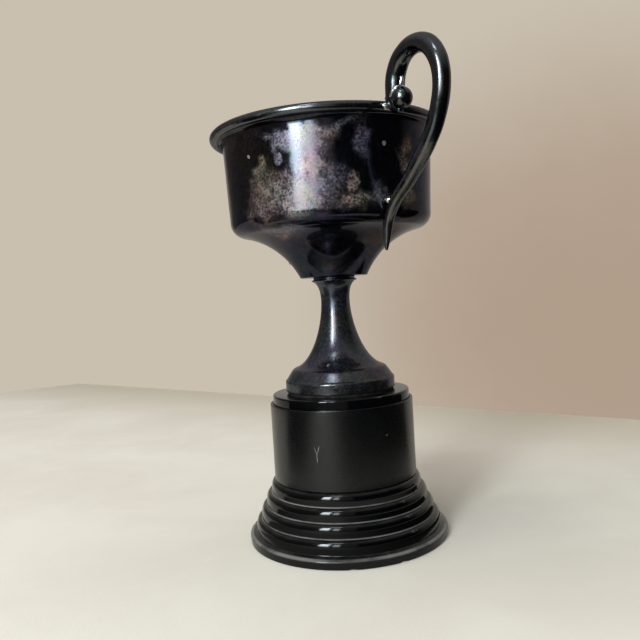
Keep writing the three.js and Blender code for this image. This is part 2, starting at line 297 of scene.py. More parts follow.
def blob(centre: Vector, size: Vector, seed: float, turn: Matrix) -> bmesh.types.BMesh:
    """A lump of metal that has run and set.

    Args:
        centre: its middle.
        size: its half widths.
        seed: which of many lumpy patterns is used.
        turn: how it is turned before it is put in its place.

    Returns:
        The closed mesh.
    """
    mesh = bmesh.new()
    bmesh.ops.create_icosphere(mesh, subdivisions=5, radius=1.0)
    for vert in mesh.verts:
        vert.co *= 1 + LUMP_DEPTH * noise.noise(vert.co * LUMP_SPREAD + Vector((seed, seed, seed)))
    bmesh.ops.scale(mesh, vec=size * MILLIMETRE, verts=mesh.verts)
    bmesh.ops.transform(mesh, matrix=turn, verts=mesh.verts)
    bmesh.ops.translate(mesh, vec=centre * MILLIMETRE, verts=mesh.verts)
    return mesh


def joined(meshes: Iterable[bmesh.types.BMesh]) -> bmesh.types.BMesh:
    """One mesh that holds all the given ones, which are freed."""
    whole = bmesh.new()
    for part in meshes:
        data = bpy.data.meshes.new("part")
        part.to_mesh(data)
        part.free()
        whole.from_mesh(data)
        bpy.data.meshes.remove(data)
    return whole


# ---- Shader nodes ----


class Canvas:
    """Adds nodes to one node tree and links them."""

    GIVES_A_NUMBER = ("LENGTH", "DISTANCE", "DOT_PRODUCT")

    def __init__(self, tree: bpy.types.NodeTree) -> None:
        """Starts on a node tree."""
        self.tree = tree

    def add(self, kind: str, inputs: dict | None = None, **settings: object) -> bpy.types.Node:
        """Adds a node.

        Args:
            kind: the node's type, without the ShaderNode at its start.
            inputs: for each input's name or number, the socket that feeds it or its value.
            settings: the node's own properties.

        Returns:
            The node.
        """
        node = self.tree.nodes.new("ShaderNode" + kind)
        for name, value in settings.items():
            setattr(node, name, value)
        self.feed(node, inputs or {})
        return node

    def feed(self, node: bpy.types.Node, inputs: dict) -> None:
        """Links or sets a node's inputs, as in add."""
        for key, value in inputs.items():
            if isinstance(value, bpy.types.NodeSocket):
                self.tree.links.new(value, node.inputs[key])
            elif isinstance(value, tuple) and node.inputs[key].type == "RGBA":
                node.inputs[key].default_value = (*value, 1.0)
            else:
                node.inputs[key].default_value = value

    def place(self) -> bpy.types.NodeSocket:
        """The point being shaded, in the object's own space."""
        return self.add("TexCoord").outputs["Object"]

    def math(self, operation: str, *values: object) -> bpy.types.NodeSocket:
        """The result of a sum on one, two or three values."""
        return self.add("Math", dict(enumerate(values)), operation=operation).outputs[0]

    def vector(self, operation: str, *values: object) -> bpy.types.NodeSocket:
        """The result of a sum on vectors: a number where the sum gives one, and otherwise a vector."""
        node = self.add("VectorMath", dict(enumerate(values)), operation=operation)
        return node.outputs["Value" if operation in self.GIVES_A_NUMBER else "Vector"]

    def round_axis(self) -> tuple[bpy.types.NodeSocket, bpy.types.NodeSocket]:
        """How far the point being shaded is from the Z axis, and its height."""
        split = self.add("SeparateXYZ", {0: self.place()})
        across = self.add("CombineXYZ", {0: split.outputs["X"], 1: split.outputs["Y"]}).outputs[0]
        return self.vector("LENGTH", across), split.outputs["Z"]

    def ease(self, value: object, low: object, high: object, *ends: float) -> bpy.types.NodeSocket:
        """A smooth step from one value to another.

        Args:
            value: what is measured.
            low: where the step starts.
            high: where it is complete.
            ends: its values before and after, 0 and 1 unless given.

        Returns:
            The step's value.
        """
        start, end = ends or (0.0, 1.0)
        inputs = {"Value": value, "From Min": low, "From Max": high, "To Min": start, "To Max": end}
        return self.add("MapRange", inputs, interpolation_type="SMOOTHSTEP").outputs[0]

    def grain(self, scale: object, detail: float = 2.0, rough: float = 0.5, **more: object) -> bpy.types.Node:
        """A noise texture.

        Args:
            scale: how many bumps there are in a metre.
            detail: how many finer layers it has.
            rough: how strong those layers are.
            more: vector, seed or distortion, where they aren't the plain ones.

        Returns:
            The node.
        """
        inputs = {
            "Vector": more.get("vector") or self.place(),
            "W": more.get("seed", 0.0),
            "Scale": scale,
            "Detail": detail,
            "Roughness": rough,
            "Distortion": more.get("distortion", 0.0),
        }
        return self.add("TexNoise", inputs, noise_dimensions="4D")

    def mix(self, share: object, first: object, second: object, how: str = "MIX") -> bpy.types.NodeSocket:
        """Two colours mixed."""
        node = self.add("Mix", {0: share, 6: first, 7: second}, data_type="RGBA", blend_type=how)
        return node.outputs[2]

    def between(self, share: object, first: object, second: object) -> bpy.types.NodeSocket:
        """Two numbers mixed."""
        return self.add("Mix", {0: share, 2: first, 3: second}, data_type="FLOAT").outputs[0]

    def most(self, masks: Sequence[object]) -> bpy.types.NodeSocket:
        """The greatest of several masks."""
        found = masks[0]
        for mask in masks[1:]:
            found = self.math("MAXIMUM", found, mask)
        return found


class Effects:
    """The shader node groups that several finishes share."""

    SCRATCH_WIDTH = 0.012

    def __init__(self) -> None:
        """Builds every group once."""
        self.stain = self._stain()
        self.clouds = self._clouds()
        self.rubbing = self._rubbing()
        self.edge = self._edge()
        self.dust = self._dust()

    @staticmethod
    def _group(
        name: str, inputs: dict[str, object], outputs: Sequence[str]
    ) -> tuple[Canvas, dict, bpy.types.Node]:
        """Starts a group.

        Args:
            name: the group's name.
            inputs: each input's name and its plain value, a number or a vector.
            outputs: the names of its outputs, all numbers.

        Returns:
            The group's canvas, its inputs' sockets by name, and its output node.
        """
        tree = bpy.data.node_groups.new(name, "ShaderNodeTree")
        for label, value in inputs.items():
            kind = "NodeSocketVector" if isinstance(value, tuple) else "NodeSocketFloat"
            socket = tree.interface.new_socket(label, in_out="INPUT", socket_type=kind)
            socket.default_value = value
        for label in outputs:
            tree.interface.new_socket(label, in_out="OUTPUT", socket_type="NodeSocketFloat")
        entry = tree.nodes.new("NodeGroupInput")
        leave = tree.nodes.new("NodeGroupOutput")
        return Canvas(tree), {socket.name: socket for socket in entry.outputs if socket.name}, leave

    def _stain(self) -> bpy.types.NodeTree:
        """A spot at one place, or a scratch if it is long and thin, laid over another mask."""
        inputs = {
            "Where": (0.0, 0.0, 0.0),
            "Place": (0.0, 0.0, 0.0),
            "Turn": (0.0, 0.0, 0.0),
            "Size": (0.01, 0.01, 0.01),
            "Start": 1.1,
            "Full": 0.9,
            "Over": 0.0,
        }
        canvas, given, leave = self._group("stain", inputs, ["Mask"])
        where = {"Vector": given["Where"], "Location": given["Place"], "Rotation": given["Turn"]}
        local = canvas.add("Mapping", {**where, "Scale": given["Size"]}, vector_type="TEXTURE")
        away = canvas.vector("LENGTH", local.outputs[0])
        spot = canvas.ease(away, given["Start"], given["Full"])
        canvas.feed(leave, {"Mask": canvas.math("MAXIMUM", spot, given["Over"])})
        return canvas.tree

    def _clouds(self) -> bpy.types.NodeTree:
        """Cloudy patches with a fine broken grain."""
        inputs = {"Scale": 40.0, "Cover": 0.5, "Soft": 0.08, "Grain": 16.0, "Seed": 0.0}
        canvas, given, leave = self._group("clouds", inputs, ["Mask", "Speckle"])
        body = canvas.grain(given["Scale"], 7.0, 0.62, seed=given["Seed"], distortion=0.5)
        low = canvas.math("SUBTRACT", given["Cover"], given["Soft"])
        high = canvas.math("ADD", given["Cover"], given["Soft"])
        fine = canvas.math("MULTIPLY", given["Scale"], given["Grain"])
        speck = canvas.grain(fine, 3.0, 0.6, seed=given["Seed"]).outputs["Fac"]
        canvas.feed(leave, {"Mask": canvas.ease(body.outputs["Fac"], low, high)})
        canvas.feed(leave, {"Speckle": canvas.ease(speck, 0.40, 0.60)})
        return canvas.tree

    def _rubbing(self) -> bpy.types.NodeTree:
        """Fine lines that run round the cup or along a bar, and short random scratches."""
        inputs = {"Stretch": (60.0, 60.0, 2400.0), "Seed": 0.0}
        canvas, given, leave = self._group("rubbing", inputs, ["Lines", "Scratches"])
        drawn = canvas.vector("MULTIPLY", canvas.place(), given["Stretch"])
        lines = canvas.grain(1.0, 3.0, 0.6, vector=drawn, seed=given["Seed"])
        warp = canvas.grain(90.0, 2.0, 0.5, seed=given["Seed"]).outputs["Color"]
        tilt = canvas.vector("MULTIPLY", warp, (60.0, 900.0, 90.0))
        bent = canvas.vector("MULTIPLY", canvas.place(), (900.0, 90.0, 300.0))
        both = canvas.vector("ADD", tilt, bent)
        hair = canvas.grain(0.12, 2.0, 0.5, vector=both, seed=given["Seed"]).outputs["Fac"]
        ridge = canvas.math("ABSOLUTE", canvas.math("SUBTRACT", hair, 0.5))
        canvas.feed(leave, {"Lines": lines.outputs["Fac"]})
        canvas.feed(leave, {"Scratches": canvas.ease(ridge, self.SCRATCH_WIDTH, 0.0)})
        return canvas.tree

    def _edge(self) -> bpy.types.NodeTree:
        """Wear along the edges that stand out, and a mask of the creases, where the moulding has a painted
        highlight.
        """
        inputs = {"Start": 0.51, "Full": 0.56, "Grain": 900.0}
        canvas, given, leave = self._group("edge_wear", inputs, ["Mask", "Crease"])
        sharp = canvas.add("NewGeometry").outputs["Pointiness"]
        broken = canvas.grain(given["Grain"], 4.0, 0.6).outputs["Fac"]
        mask = canvas.ease(sharp, given["Start"], given["Full"])
        canvas.feed(leave, {"Mask": canvas.math("MULTIPLY", mask, canvas.ease(broken, 0.35, 0.6))})
        crease = canvas.ease(sharp, 0.488, 0.462)
        canvas.feed(leave, {"Crease": canvas.math("MULTIPLY", crease, canvas.ease(broken, 0.2, 0.7))})
        return canvas.tree

    def _dust(self) -> bpy.types.NodeTree:
        """Dust that has settled on what faces up, and loose specks."""
        canvas, given, leave = self._group("dust", {"Seed": 0.0}, ["Film", "Specks"])
        up = canvas.add("SeparateXYZ", {0: canvas.add("NewGeometry").outputs["Normal"]}).outputs["Z"]
        drift = canvas.grain(140.0, 5.0, 0.6, seed=given["Seed"]).outputs["Fac"]
        film = canvas.math("MULTIPLY", canvas.ease(up, 0.3, 1.0), canvas.ease(drift, 0.3, 0.75))
        specks = canvas.grain(1500.0, 2.0, 0.5, seed=given["Seed"]).outputs["Fac"]
        canvas.feed(leave, {"Film": film, "Specks": canvas.ease(specks, 0.72, 0.78)})
        return canvas.tree


class Edge(Enum):
    """How a mark's outline wanders.

    Each gives how far in millimetres, in how many bumps to the metre, and with how much detail.
    """

    CLEAN = (0.25, 400.0, 5.0)
    RAGGED = (1.6, 700.0, 5.0)
    CLOUDY = (7.5, 120.0, 1.8)


@dataclass(frozen=True)
class Mark:
    """A stain or scratch on a turned surface. Lengths are in millimetres and angles in degrees."""

    azimuth: float
    radius: float
    height: float
    width: float
    tall: float
    slant: float = 0.0
    soft: float = 0.15
    edge: Edge = Edge.RAGGED
    depth: float = 5.0

    def inputs(self) -> dict[str, object]:
        """What the stain group needs to show the mark."""
        round_axis = math.radians(self.azimuth)
        place = (self.radius * math.cos(round_axis), self.radius * math.sin(round_axis), self.height)
        return {
            "Place": tuple(value * MILLIMETRE for value in place),
            "Turn": (math.radians(self.slant), 0.0, round_axis),
            "Size": (self.depth * MILLIMETRE, self.width * MILLIMETRE, self.tall * MILLIMETRE),
            "Start": 1 + self.soft,
            "Full": 1 - self.soft,
        }


class Marker:
    """Lays marks on one material, and works out each kind of wandering outline once."""

    def __init__(self, canvas: Canvas, effects: Effects) -> None:
        """Starts on a material's canvas."""
        self.canvas = canvas
        self.effects = effects
        self.places: dict[Edge, bpy.types.NodeSocket] = {}

    def place(self, edge: Edge) -> bpy.types.NodeSocket:
        """The point being shaded, pushed about as the edge asks."""
        if edge not in self.places:
            canvas = self.canvas
            far, bumps, detail = edge.value
            push = canvas.grain(bumps, detail, 0.58, seed=bumps).outputs["Color"]
            push = canvas.vector("SUBTRACT", push, (0.5, 0.5, 0.5))
            size = {0: push, "Scale": 2 * far * MILLIMETRE}
            push = canvas.add("VectorMath", size, operation="SCALE").outputs[0]
            self.places[edge] = canvas.vector("ADD", canvas.place(), push)
        return self.places[edge]

    def union(self, marks: Iterable[Mark], found: object = 0.0) -> object:
        """Lays marks over a mask.

        Args:
            marks: the marks.
            found: the mask or number that they are laid over.

        Returns:
            The mask of them all.
        """
        for mark in marks:
            node = self.canvas.add("Group", node_tree=self.effects.stain)
            self.canvas.feed(node, {**mark.inputs(), "Where": self.place(mark.edge), "Over": found})
            found = node.outputs["Mask"]
        return found


@dataclass(frozen=True)
class Finish:
    """What a piece's surface is. Each kind of finish adds its own nodes in dress."""

    name: str
    slot: Slot
    metallic: float = 1.0

    def material(self, effects: Effects) -> bpy.types.Material:
        """Makes the finish's material.

        Args:
            effects: the shared node groups.

        Returns:
            The material.
        """
        material = bpy.data.materials.new(self.name)
        material.use_nodes = True
        material.node_tree.nodes.clear()
        canvas = Canvas(material.node_tree)
        shader = canvas.add("BsdfPrincipled", {"Metallic": self.metallic})
        canvas.add("OutputMaterial", {"Surface": shader.outputs[0]})
        self.dress(canvas, shader, effects)
        return material

    def dress(self, canvas: Canvas, shader: bpy.types.Node, effects: Effects) -> None:
        """Adds the nodes that feed the shader."""
        raise NotImplementedError

    @staticmethod
    def effect(canvas: Canvas, tree: bpy.types.NodeTree, **inputs: object) -> bpy.types.Node:
        """Places a shared group with its own values."""
        node = canvas.add("Group", node_tree=tree)
        canvas.feed(node, inputs)
        return node

    @staticmethod
    def relief(canvas: Canvas, shader: bpy.types.Node, *layers: tuple[object, float]) -> None:
        """Feeds the shader's normal with bumps.

        Args:
            canvas: the material's canvas.
            shader: its shader.
            layers: each layer's height, from 0 to 1, and how deep it is in millimetres.
        """
        last = None
        for height, depth in layers:
            inputs = {"Height": height, "Distance": depth * MILLIMETRE, "Strength": 1.0}
            if last is not None:
                inputs["Normal"] = last
            last = canvas.add("Bump", inputs).outputs[0]
        canvas.feed(shader, {"Normal": last})


def cloud(*sizes: float) -> Mark:
    """A soft cloudy patch of tarnish, with the sizes of a Mark: azimuth, radius, height, width, tall, slant."""
    return Mark(*sizes, soft=0.80, edge=Edge.CLOUDY)


@dataclass(frozen=True)
class TarnishedPlate(Finish):
    """Silver plate gone nearly black, with cloudy patches where the tarnish has turned powdery."""

    film: Colour = (0.020, 0.025, 0.040)
    warm_film: Colour = (0.033, 0.030, 0.033)
    lilac: Colour = (0.225, 0.210, 0.255)
    tan: Colour = (0.385, 0.300, 0.255)
    cover: float = 0.58
    haze: float = 0.16
    film_rough: float = 0.025
    powder_rough: float = 0.50
    powder_metal: float = 0.45
    edge_tint: Colour = (0.68, 0.68, 0.70)
    lilac_marks: tuple[Mark, ...] = ()
    tan_marks: tuple[Mark, ...] = ()
    bare_marks: tuple[Mark, ...] = ()

    def dress(self, canvas: Canvas, shader: bpy.types.Node, effects: Effects) -> None:
        """Adds the film, the clouds, the marks and the fine relief."""
        fine_hue = canvas.grain(700.0, 3.0, 0.6, seed=3.0).outputs["Color"]
        hue = canvas.grain(110.0, 4.0, 0.6, seed=4.0).outputs["Color"]
        drift = canvas.ease(canvas.grain(28.0, 3.0, 0.5, seed=8.0).outputs["Fac"], 0.42, 0.62)
        film = canvas.mix(0.45, canvas.mix(drift, self.film, self.warm_film), hue, "SOFT_LIGHT")
        film = canvas.mix(0.85, film, fine_hue, "OVERLAY")

        wide = self.effect(canvas, effects.clouds, Scale=34.0, Cover=self.cover, Soft=0.20, Seed=1.0)
        small = self.effect(canvas, effects.clouds, Scale=110.0, Cover=0.64, Soft=0.06, Seed=5.0)
        scattered = canvas.math("MULTIPLY", small.outputs["Mask"], 0.35)
        loose = canvas.math("MULTIPLY", canvas.most([wide.outputs["Mask"], scattered]), 0.45)
        marker = Marker(canvas, effects)
        lilac = marker.union(self.lilac_marks, loose)
        tan = marker.union(self.tan_marks, canvas.math("MULTIPLY", loose, drift))
        bare = marker.union(self.bare_marks)

        grit = canvas.grain(1100.0, 4.0, 0.7, seed=13.0).outputs["Fac"]
        mottle = canvas.grain(330.0, 5.0, 0.65, seed=14.0).outputs["Fac"]
        gritty = canvas.ease(grit, 0.36, 0.64, 0.42, 1.0)
        broken = canvas.math("MULTIPLY", gritty, canvas.ease(mottle, 0.34, 0.62, 0.60, 1.0))
        powder = canvas.math("MULTIPLY", canvas.most([lilac, tan, self.haze]), broken)
        powder = canvas.most([powder, bare])
        share = canvas.math("DIVIDE", tan, canvas.math("ADD", canvas.math("ADD", tan, lilac), 0.001))
        colour = canvas.mix(0.5, canvas.mix(share, self.lilac, self.tan), hue, "SOFT_LIGHT")
        base = canvas.mix(powder, film, colour)

        lines = self.effect(canvas, effects.rubbing, Seed=2.0)
        smear = canvas.grain(60.0, 4.0, 0.6, seed=12.0).outputs["Fac"]
        clean_rough = canvas.math("MULTIPLY_ADD", smear, 0.08, self.film_rough)
        scratched = canvas.math("MULTIPLY_ADD", lines.outputs["Scratches"], 0.10, clean_rough)
        rough = canvas.between(powder, scratched, self.powder_rough)
        metal = canvas.between(powder, 1.0, self.powder_metal)
        canvas.feed(shader, {"Base Color": base, "Roughness": rough, "Metallic": metal})
        canvas.feed(shader, {"Specular Tint": self.edge_tint})
        self.relief(
            canvas,
            shader,
            (canvas.grain(95.0, 2.0, 0.5, seed=6.0).outputs["Fac"], 0.030),
            (lines.outputs["Lines"], 0.0010),
            (powder, 0.006),
        )


@dataclass(frozen=True)
class DarkPewter(Finish):
    """Tarnished plate on cast and drawn metal, rubbed back to grey where it is handled."""

    dark: Colour = (0.122, 0.130, 0.140)
    rubbed: Colour = (0.175, 0.172, 0.166)
    bright: Colour = (0.50, 0.50, 0.48)
    edge_tint: Colour = (0.70, 0.70, 0.72)
    stretch: Place = (500.0, 500.0, 500.0)
    rubbed_marks: tuple[Mark, ...] = ()
    bright_marks: tuple[Mark, ...] = ()

    def dress(self, canvas: Canvas, shader: bpy.types.Node, effects: Effects) -> None:
        """Adds the dark film, the rubbed patches, the worn edges and the fine relief."""
        patch = self.effect(canvas, effects.clouds, Scale=90.0, Cover=0.56, Soft=0.10, Seed=4.0)
        lines = self.effect(canvas, effects.rubbing, Stretch=self.stretch, Seed=7.0)
        loose = canvas.math("MULTIPLY", patch.outputs["Mask"], 0.40)
        marker = Marker(canvas, effects)
        rubbed = marker.union(self.rubbed_marks, loose)
        streaks = canvas.ease(lines.outputs["Lines"], 0.35, 0.65)
        rubbed = canvas.math("MULTIPLY", rubbed, canvas.between(streaks, 0.30, 1.0))
        worn = self.effect(canvas, effects.edge, Start=0.54, Full=0.60).outputs["Mask"]
        bright = marker.union(self.bright_marks, worn)
        mottle = canvas.grain(520.0, 5.0, 0.65, seed=5.0).outputs["Color"]
        base = canvas.mix(bright, canvas.mix(rubbed, self.dark, self.rubbed), self.bright)
        base = canvas.mix(0.55, base, mottle, "SOFT_LIGHT")
        smear = canvas.grain(150.0, 4.0, 0.6, seed=2.0).outputs["Fac"]
        clean = canvas.math("MULTIPLY_ADD", smear, 0.20, 0.09)
        clean = canvas.math("MULTIPLY_ADD", lines.outputs["Scratches"], 0.12, clean)
        rough = canvas.between(rubbed, clean, 0.36)
        canvas.feed(shader, {"Base Color": base, "Roughness": rough, "Specular Tint": self.edge_tint})
        self.relief(
            canvas,
            shader,
            (canvas.grain(260.0, 3.0, 0.5, seed=1.0).outputs["Fac"], 0.022),
            (lines.outputs["Lines"], 0.0014),
        )


@dataclass(frozen=True)
class BrightSolder(Finish):
    """Solder that has stayed bright, wrinkled where it froze."""

    bright: Colour = (0.80, 0.80, 0.78)
    dull: Colour = (0.34, 0.33, 0.31)

    def dress(self, canvas: Canvas, shader: bpy.types.Node, effects: Effects) -> None:
        """Adds dull streaks and wrinkles."""
        patch = self.effect(canvas, effects.clouds, Scale=420.0, Cover=0.56, Soft=0.12, Seed=2.0)
        base = canvas.mix(patch.outputs["Mask"], self.bright, self.dull)
        rough = canvas.between(patch.outputs["Mask"], 0.20, 0.42)
        canvas.feed(shader, {"Base Color": base, "Roughness": rough})
        self.relief(canvas, shader, (canvas.grain(900.0, 3.0, 0.6).outputs["Fac"], 0.05))


@dataclass(frozen=True)
class BlackMoulding(Finish):
    """Polished black plastic with dust, fine scratches and rubbed edges, and painted highlights along its creases.
    """

    metallic: float = 0.0
    black: Colour = (0.0015, 0.0018, 0.0028)
    dusty: Colour = (0.060, 0.056, 0.050)
    # painted highlight colour for the creases
    crease_highlight: Colour = (0.150, 0.150, 0.145)
    # pale colour for worn chips and edges, also used for the painted highlights along the ring creases
    worn_and_highlight_pale: Colour = (0.20, 0.20, 0.195)
    gloss_index: float = 1.46
    ridge_core: float = 0.4
    worn_edge_and_highlight_lines: tuple[Ridge, ...] = ()

    def dress(self, canvas: Canvas, shader: bpy.types.Node, effects: Effects) -> None:
        """Adds the dust, the scratches, the wear and the painted highlights."""
        dust = self.effect(canvas, effects.dust, Seed=3.0)
        lines = self.effect(canvas, effects.rubbing, Stretch=(40.0, 40.0, 1500.0), Seed=5.0)
        wear = self.effect(canvas, effects.edge, Start=0.55, Full=0.62)
        film = canvas.math("MULTIPLY", dust.outputs["Film"], 0.40)
        specks = canvas.math("MULTIPLY", dust.outputs["Specks"], 0.4)
        base = canvas.mix(canvas.most([film, specks]), self.black, self.dusty)
        base = canvas.mix(canvas.math("MULTIPLY", wear.outputs["Mask"], 0.25), base, self.worn_and_highlight_pale)
        # Painted highlight: a pale colour laid in the creases, where a reflection would show.
        base = canvas.mix(canvas.math("MULTIPLY", wear.outputs["Crease"], 0.7), base, self.crease_highlight)
        # Pale lines round the moulding: the base band's worn edge, and painted highlights along the ring creases.
        rubbed = self.worn_edge_and_highlight_mask(canvas)
        base = canvas.mix(rubbed, base, self.worn_and_highlight_pale)
        smear = canvas.grain(45.0, 5.0, 0.6, seed=9.0).outputs["Fac"]
        clean = canvas.math("MULTIPLY_ADD", smear, 0.10, 0.04)
        clean = canvas.math("MULTIPLY_ADD", lines.outputs["Scratches"], 0.10, clean)
        rough = canvas.between(canvas.most([film, rubbed]), clean, 0.42)
        canvas.feed(shader, {"Base Color": base, "Roughness": rough, "IOR": self.gloss_index})
        self.relief(
            canvas,
            shader,
            (canvas.grain(120.0, 2.0, 0.5, seed=4.0).outputs["Fac"], 0.020),
            (lines.outputs["Lines"], 0.0006),
        )

    def worn_edge_and_highlight_mask(self, canvas: Canvas) -> bpy.types.NodeSocket:
        """The pale lines that run round the moulding, each given as its radius, height and width: the base band's
        worn edge, and painted highlights along the ring creases.
        """
        radius, up = canvas.round_axis()
        spot = canvas.add("CombineXYZ", {0: radius, 1: up}).outputs[0]
        near: list[object] = []
        for ring, height, width in self.worn_edge_and_highlight_lines:
            away = canvas.vector("DISTANCE", spot, (ring * MILLIMETRE, height * MILLIMETRE, 0.0))
            near.append(canvas.ease(away, width * MILLIMETRE, self.ridge_core * width * MILLIMETRE))
        patchy = canvas.ease(canvas.grain(60.0, 5.0, 0.6, seed=15.0).outputs["Fac"], 0.30, 0.62, 0.25, 0.85)
        return canvas.math("MULTIPLY", canvas.most(near), patchy)


@dataclass(frozen=True)
class SatinBlack(Finish):
    """Black paint with a soft sheen on sheet metal, scratched through in a few places."""

    metallic: float = 0.0
    black: Colour = (0.0020, 0.0025, 0.0028)
    scuffed: Colour = (0.0085, 0.009, 0.009)
    bare: Colour = (0.25, 0.245, 0.235)
    gloss_index: float = 1.62
    scratches: tuple[Mark, ...] = ()

    def dress(self, canvas: Canvas, shader: bpy.types.Node, effects: Effects) -> None:
        """Adds the scuffs, the scratches and the paint's fine texture."""
        scuff = self.effect(canvas, effects.clouds, Scale=60.0, Cover=0.58, Soft=0.14, Seed=6.0)
        dust = self.effect(canvas, effects.dust, Seed=8.0)
        lines = self.effect(canvas, effects.rubbing, Stretch=(300.0, 300.0, 70.0), Seed=4.0)
        base = canvas.mix(canvas.math("MULTIPLY", scuff.outputs["Mask"], 0.35), self.black, self.scuffed)
        specks = canvas.math("MULTIPLY", dust.outputs["Specks"], 0.18)
        base = canvas.mix(specks, base, self.bare)
        base = canvas.mix(Marker(canvas, effects).union(self.scratches), base, self.bare)
        smear = canvas.grain(38.0, 4.0, 0.55, seed=3.0).outputs["Fac"]
        rough = canvas.math("MULTIPLY_ADD", smear, 0.10, 0.21)
        rough = canvas.math("MULTIPLY_ADD", lines.outputs["Scratches"], 0.06, rough)
        canvas.feed(shader, {"Base Color": base, "Roughness": rough, "IOR": self.gloss_index})
        self.relief(canvas, shader, (canvas.grain(2600.0, 2.0, 0.5).outputs["Fac"], 0.0022))


@dataclass(frozen=True)
class BlackFibre(Finish):
    """Pressed black fibre."""

    metallic: float = 0.0
    black: Colour = (0.014, 0.013, 0.012)
    faded: Colour = (0.050, 0.046, 0.040)

    def dress(self, canvas: Canvas, shader: bpy.types.Node, effects: Effects) -> None:
        """Adds the fibres' mottle and their relief."""
        patch = self.effect(canvas, effects.clouds, Scale=300.0, Cover=0.54, Soft=0.14, Seed=3.0)
        base = canvas.mix(patch.outputs["Mask"], self.black, self.faded)
        rough = canvas.between(patch.outputs["Speckle"], 0.72, 0.92)
        canvas.feed(shader, {"Base Color": base, "Roughness": rough})
        self.relief(canvas, shader, (canvas.grain(1800.0, 4.0, 0.7).outputs["Fac"], 0.05))


@dataclass(frozen=True)
class PlainSteel(Finish):
    """Zinc-plated steel with a dull bloom."""

    zinc: Colour = (0.46, 0.455, 0.44)
    bloom: Colour = (0.26, 0.25, 0.235)

    def dress(self, canvas: Canvas, shader: bpy.types.Node, effects: Effects) -> None:
        """Adds the bloom and the turning marks."""
        patch = self.effect(canvas, effects.clouds, Scale=180.0, Cover=0.52, Soft=0.12, Seed=7.0)
        lines = self.effect(canvas, effects.rubbing, Stretch=(900.0, 900.0, 900.0), Seed=1.0)
        base = canvas.mix(patch.outputs["Mask"], self.zinc, self.bloom)
        rough = canvas.between(patch.outputs["Mask"], 0.28, 0.52)
        canvas.feed(shader, {"Base Color": base, "Roughness": rough})
        self.relief(canvas, shader, (lines.outputs["Lines"], 0.004))


@dataclass(frozen=True)
class FloorCloth(Finish):
    """The plain pale cloth of the studio floor."""

    metallic: float = 0.0
    pale: Colour = (0.755, 0.724, 0.655)
    shade: Colour = (0.690, 0.650, 0.582)
    # far is the colour of painted shade towards the floor's far edge; toward and fading give its direction and
    # span
    far: Colour = (0.580, 0.525, 0.440)
    toward: Place = (0.372, -0.928, 0.0)
    fading: Point = (-0.11, -0.30)

    def dress(self, canvas: Canvas, shader: bpy.types.Node, effects: Effects) -> None:
        """Adds a faint mottle, painted shade on the far side and a weave."""
        patch = self.effect(canvas, effects.clouds, Scale=9.0, Cover=0.5, Soft=0.2, Seed=5.0)
        base = canvas.mix(patch.outputs["Mask"], self.pale, self.shade)
        depth = canvas.vector("DOT_PRODUCT", canvas.place(), self.toward)
        # Painted shade: the cloth darkens towards its far edge.
        base = canvas.mix(canvas.ease(depth, *self.fading), base, self.far)
        canvas.feed(shader, {"Base Color": base, "Roughness": 0.9})
        self.relief(canvas, shader, (canvas.grain(700.0, 3.0, 0.6).outputs["Fac"], 0.08))


@dataclass(frozen=True)
class ReflectedShadeCard(Finish):
    """A black sheet on the studio floor, seen only in reflections: painted shade that darkens the reflected floor,
    with soft-edged openings that show the pale floor.
    """

    metallic: float = 0.0
    # the painted shade that reflections see in place of the floor
    black: Colour = (0.004, 0.004, 0.004)
    ring: tuple[float, float, float, float] = (100.0, 118.0, 146.0, 170.0)
    openings: tuple[Mark, ...] = (
        Mark(-61, 320.0, 0.5, 100.0, 90.0, soft=0.45, edge=Edge.CLEAN, depth=280.0),
        Mark(-57, 92.0, 0.5, 46.0, 90.0, soft=0.45, edge=Edge.CLEAN, depth=24.0),
    )

    def dress(self, canvas: Canvas, shader: bpy.types.Node, effects: Effects) -> None:
        """Adds the openings."""
        radius, _ = canvas.round_axis()
        near, full, fading, far = (value * MILLIMETRE for value in self.ring)
        ring = canvas.math("MULTIPLY", canvas.ease(radius, near, full), canvas.ease(radius, far, fading))
        opened = Marker(canvas, effects).union(self.openings, ring)
        alpha = canvas.math("SUBTRACT", 1.0, opened)
        canvas.feed(shader, {"Base Color": self.black, "Roughness": 1.0, "Alpha": alpha})


# ---- Making pieces ----


class Workshop:
    """Finishes meshes into pieces that ride on the cup's one body."""

    BODY = "root"

    def __init__(self) -> None:
        """Starts with the shared node groups and no materials."""
        self.effects = Effects()
        self.materials: dict[str, bpy.types.Material] = {}

    def material(self, finish: Finish) -> bpy.types.Material:
        """A finish's material, made once."""
        if finish.name not in self.materials:
            self.materials[finish.name] = finish.material(self.effects)
        return self.materials[finish.name]

    def show(self, name: str, mesh: bmesh.types.BMesh, finish: Finish, sharp: float = 38.0) -> bpy.types.Object:
        """Makes an object of a mesh.

        Args:
            name: the object's name.
            mesh: its mesh, in metres and in its place, which is freed.
            finish: its finish.
            sharp: the angle in degrees above which an edge is shaded sharp.

        Returns:
            The object.
        """
        data = bpy.data.meshes.new(name)
        mesh.to_mesh(data)
        mesh.free()
        data.polygons.foreach_set("use_smooth", [True] * len(data.polygons))
        data.set_sharp_from_angle(angle=math.radians(sharp))
        data.materials.append(self.material(finish))
        thing = bpy.data.objects.new(name, data)
        bpy.context.scene.collection.objects.link(thing)
        return thing

    def piece(self, name: str, mesh: bmesh.types.BMesh, node: str, finish: Finish) -> bpy.types.Object:
        """Makes the piece that stands for a CAD node.

        Args:
            name: the piece's name.
            mesh: its mesh, in metres and in its place, which is freed.
            node: the CAD node that it replaces.
            finish: its finish.

        Returns:
            The piece.
        """
        thing = self.show(name, mesh, finish)
        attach(thing, self.BODY)
        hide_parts(node)
        log.info("%s stands for %s, with %d faces", name, node, len(thing.data.polygons))
        return thing


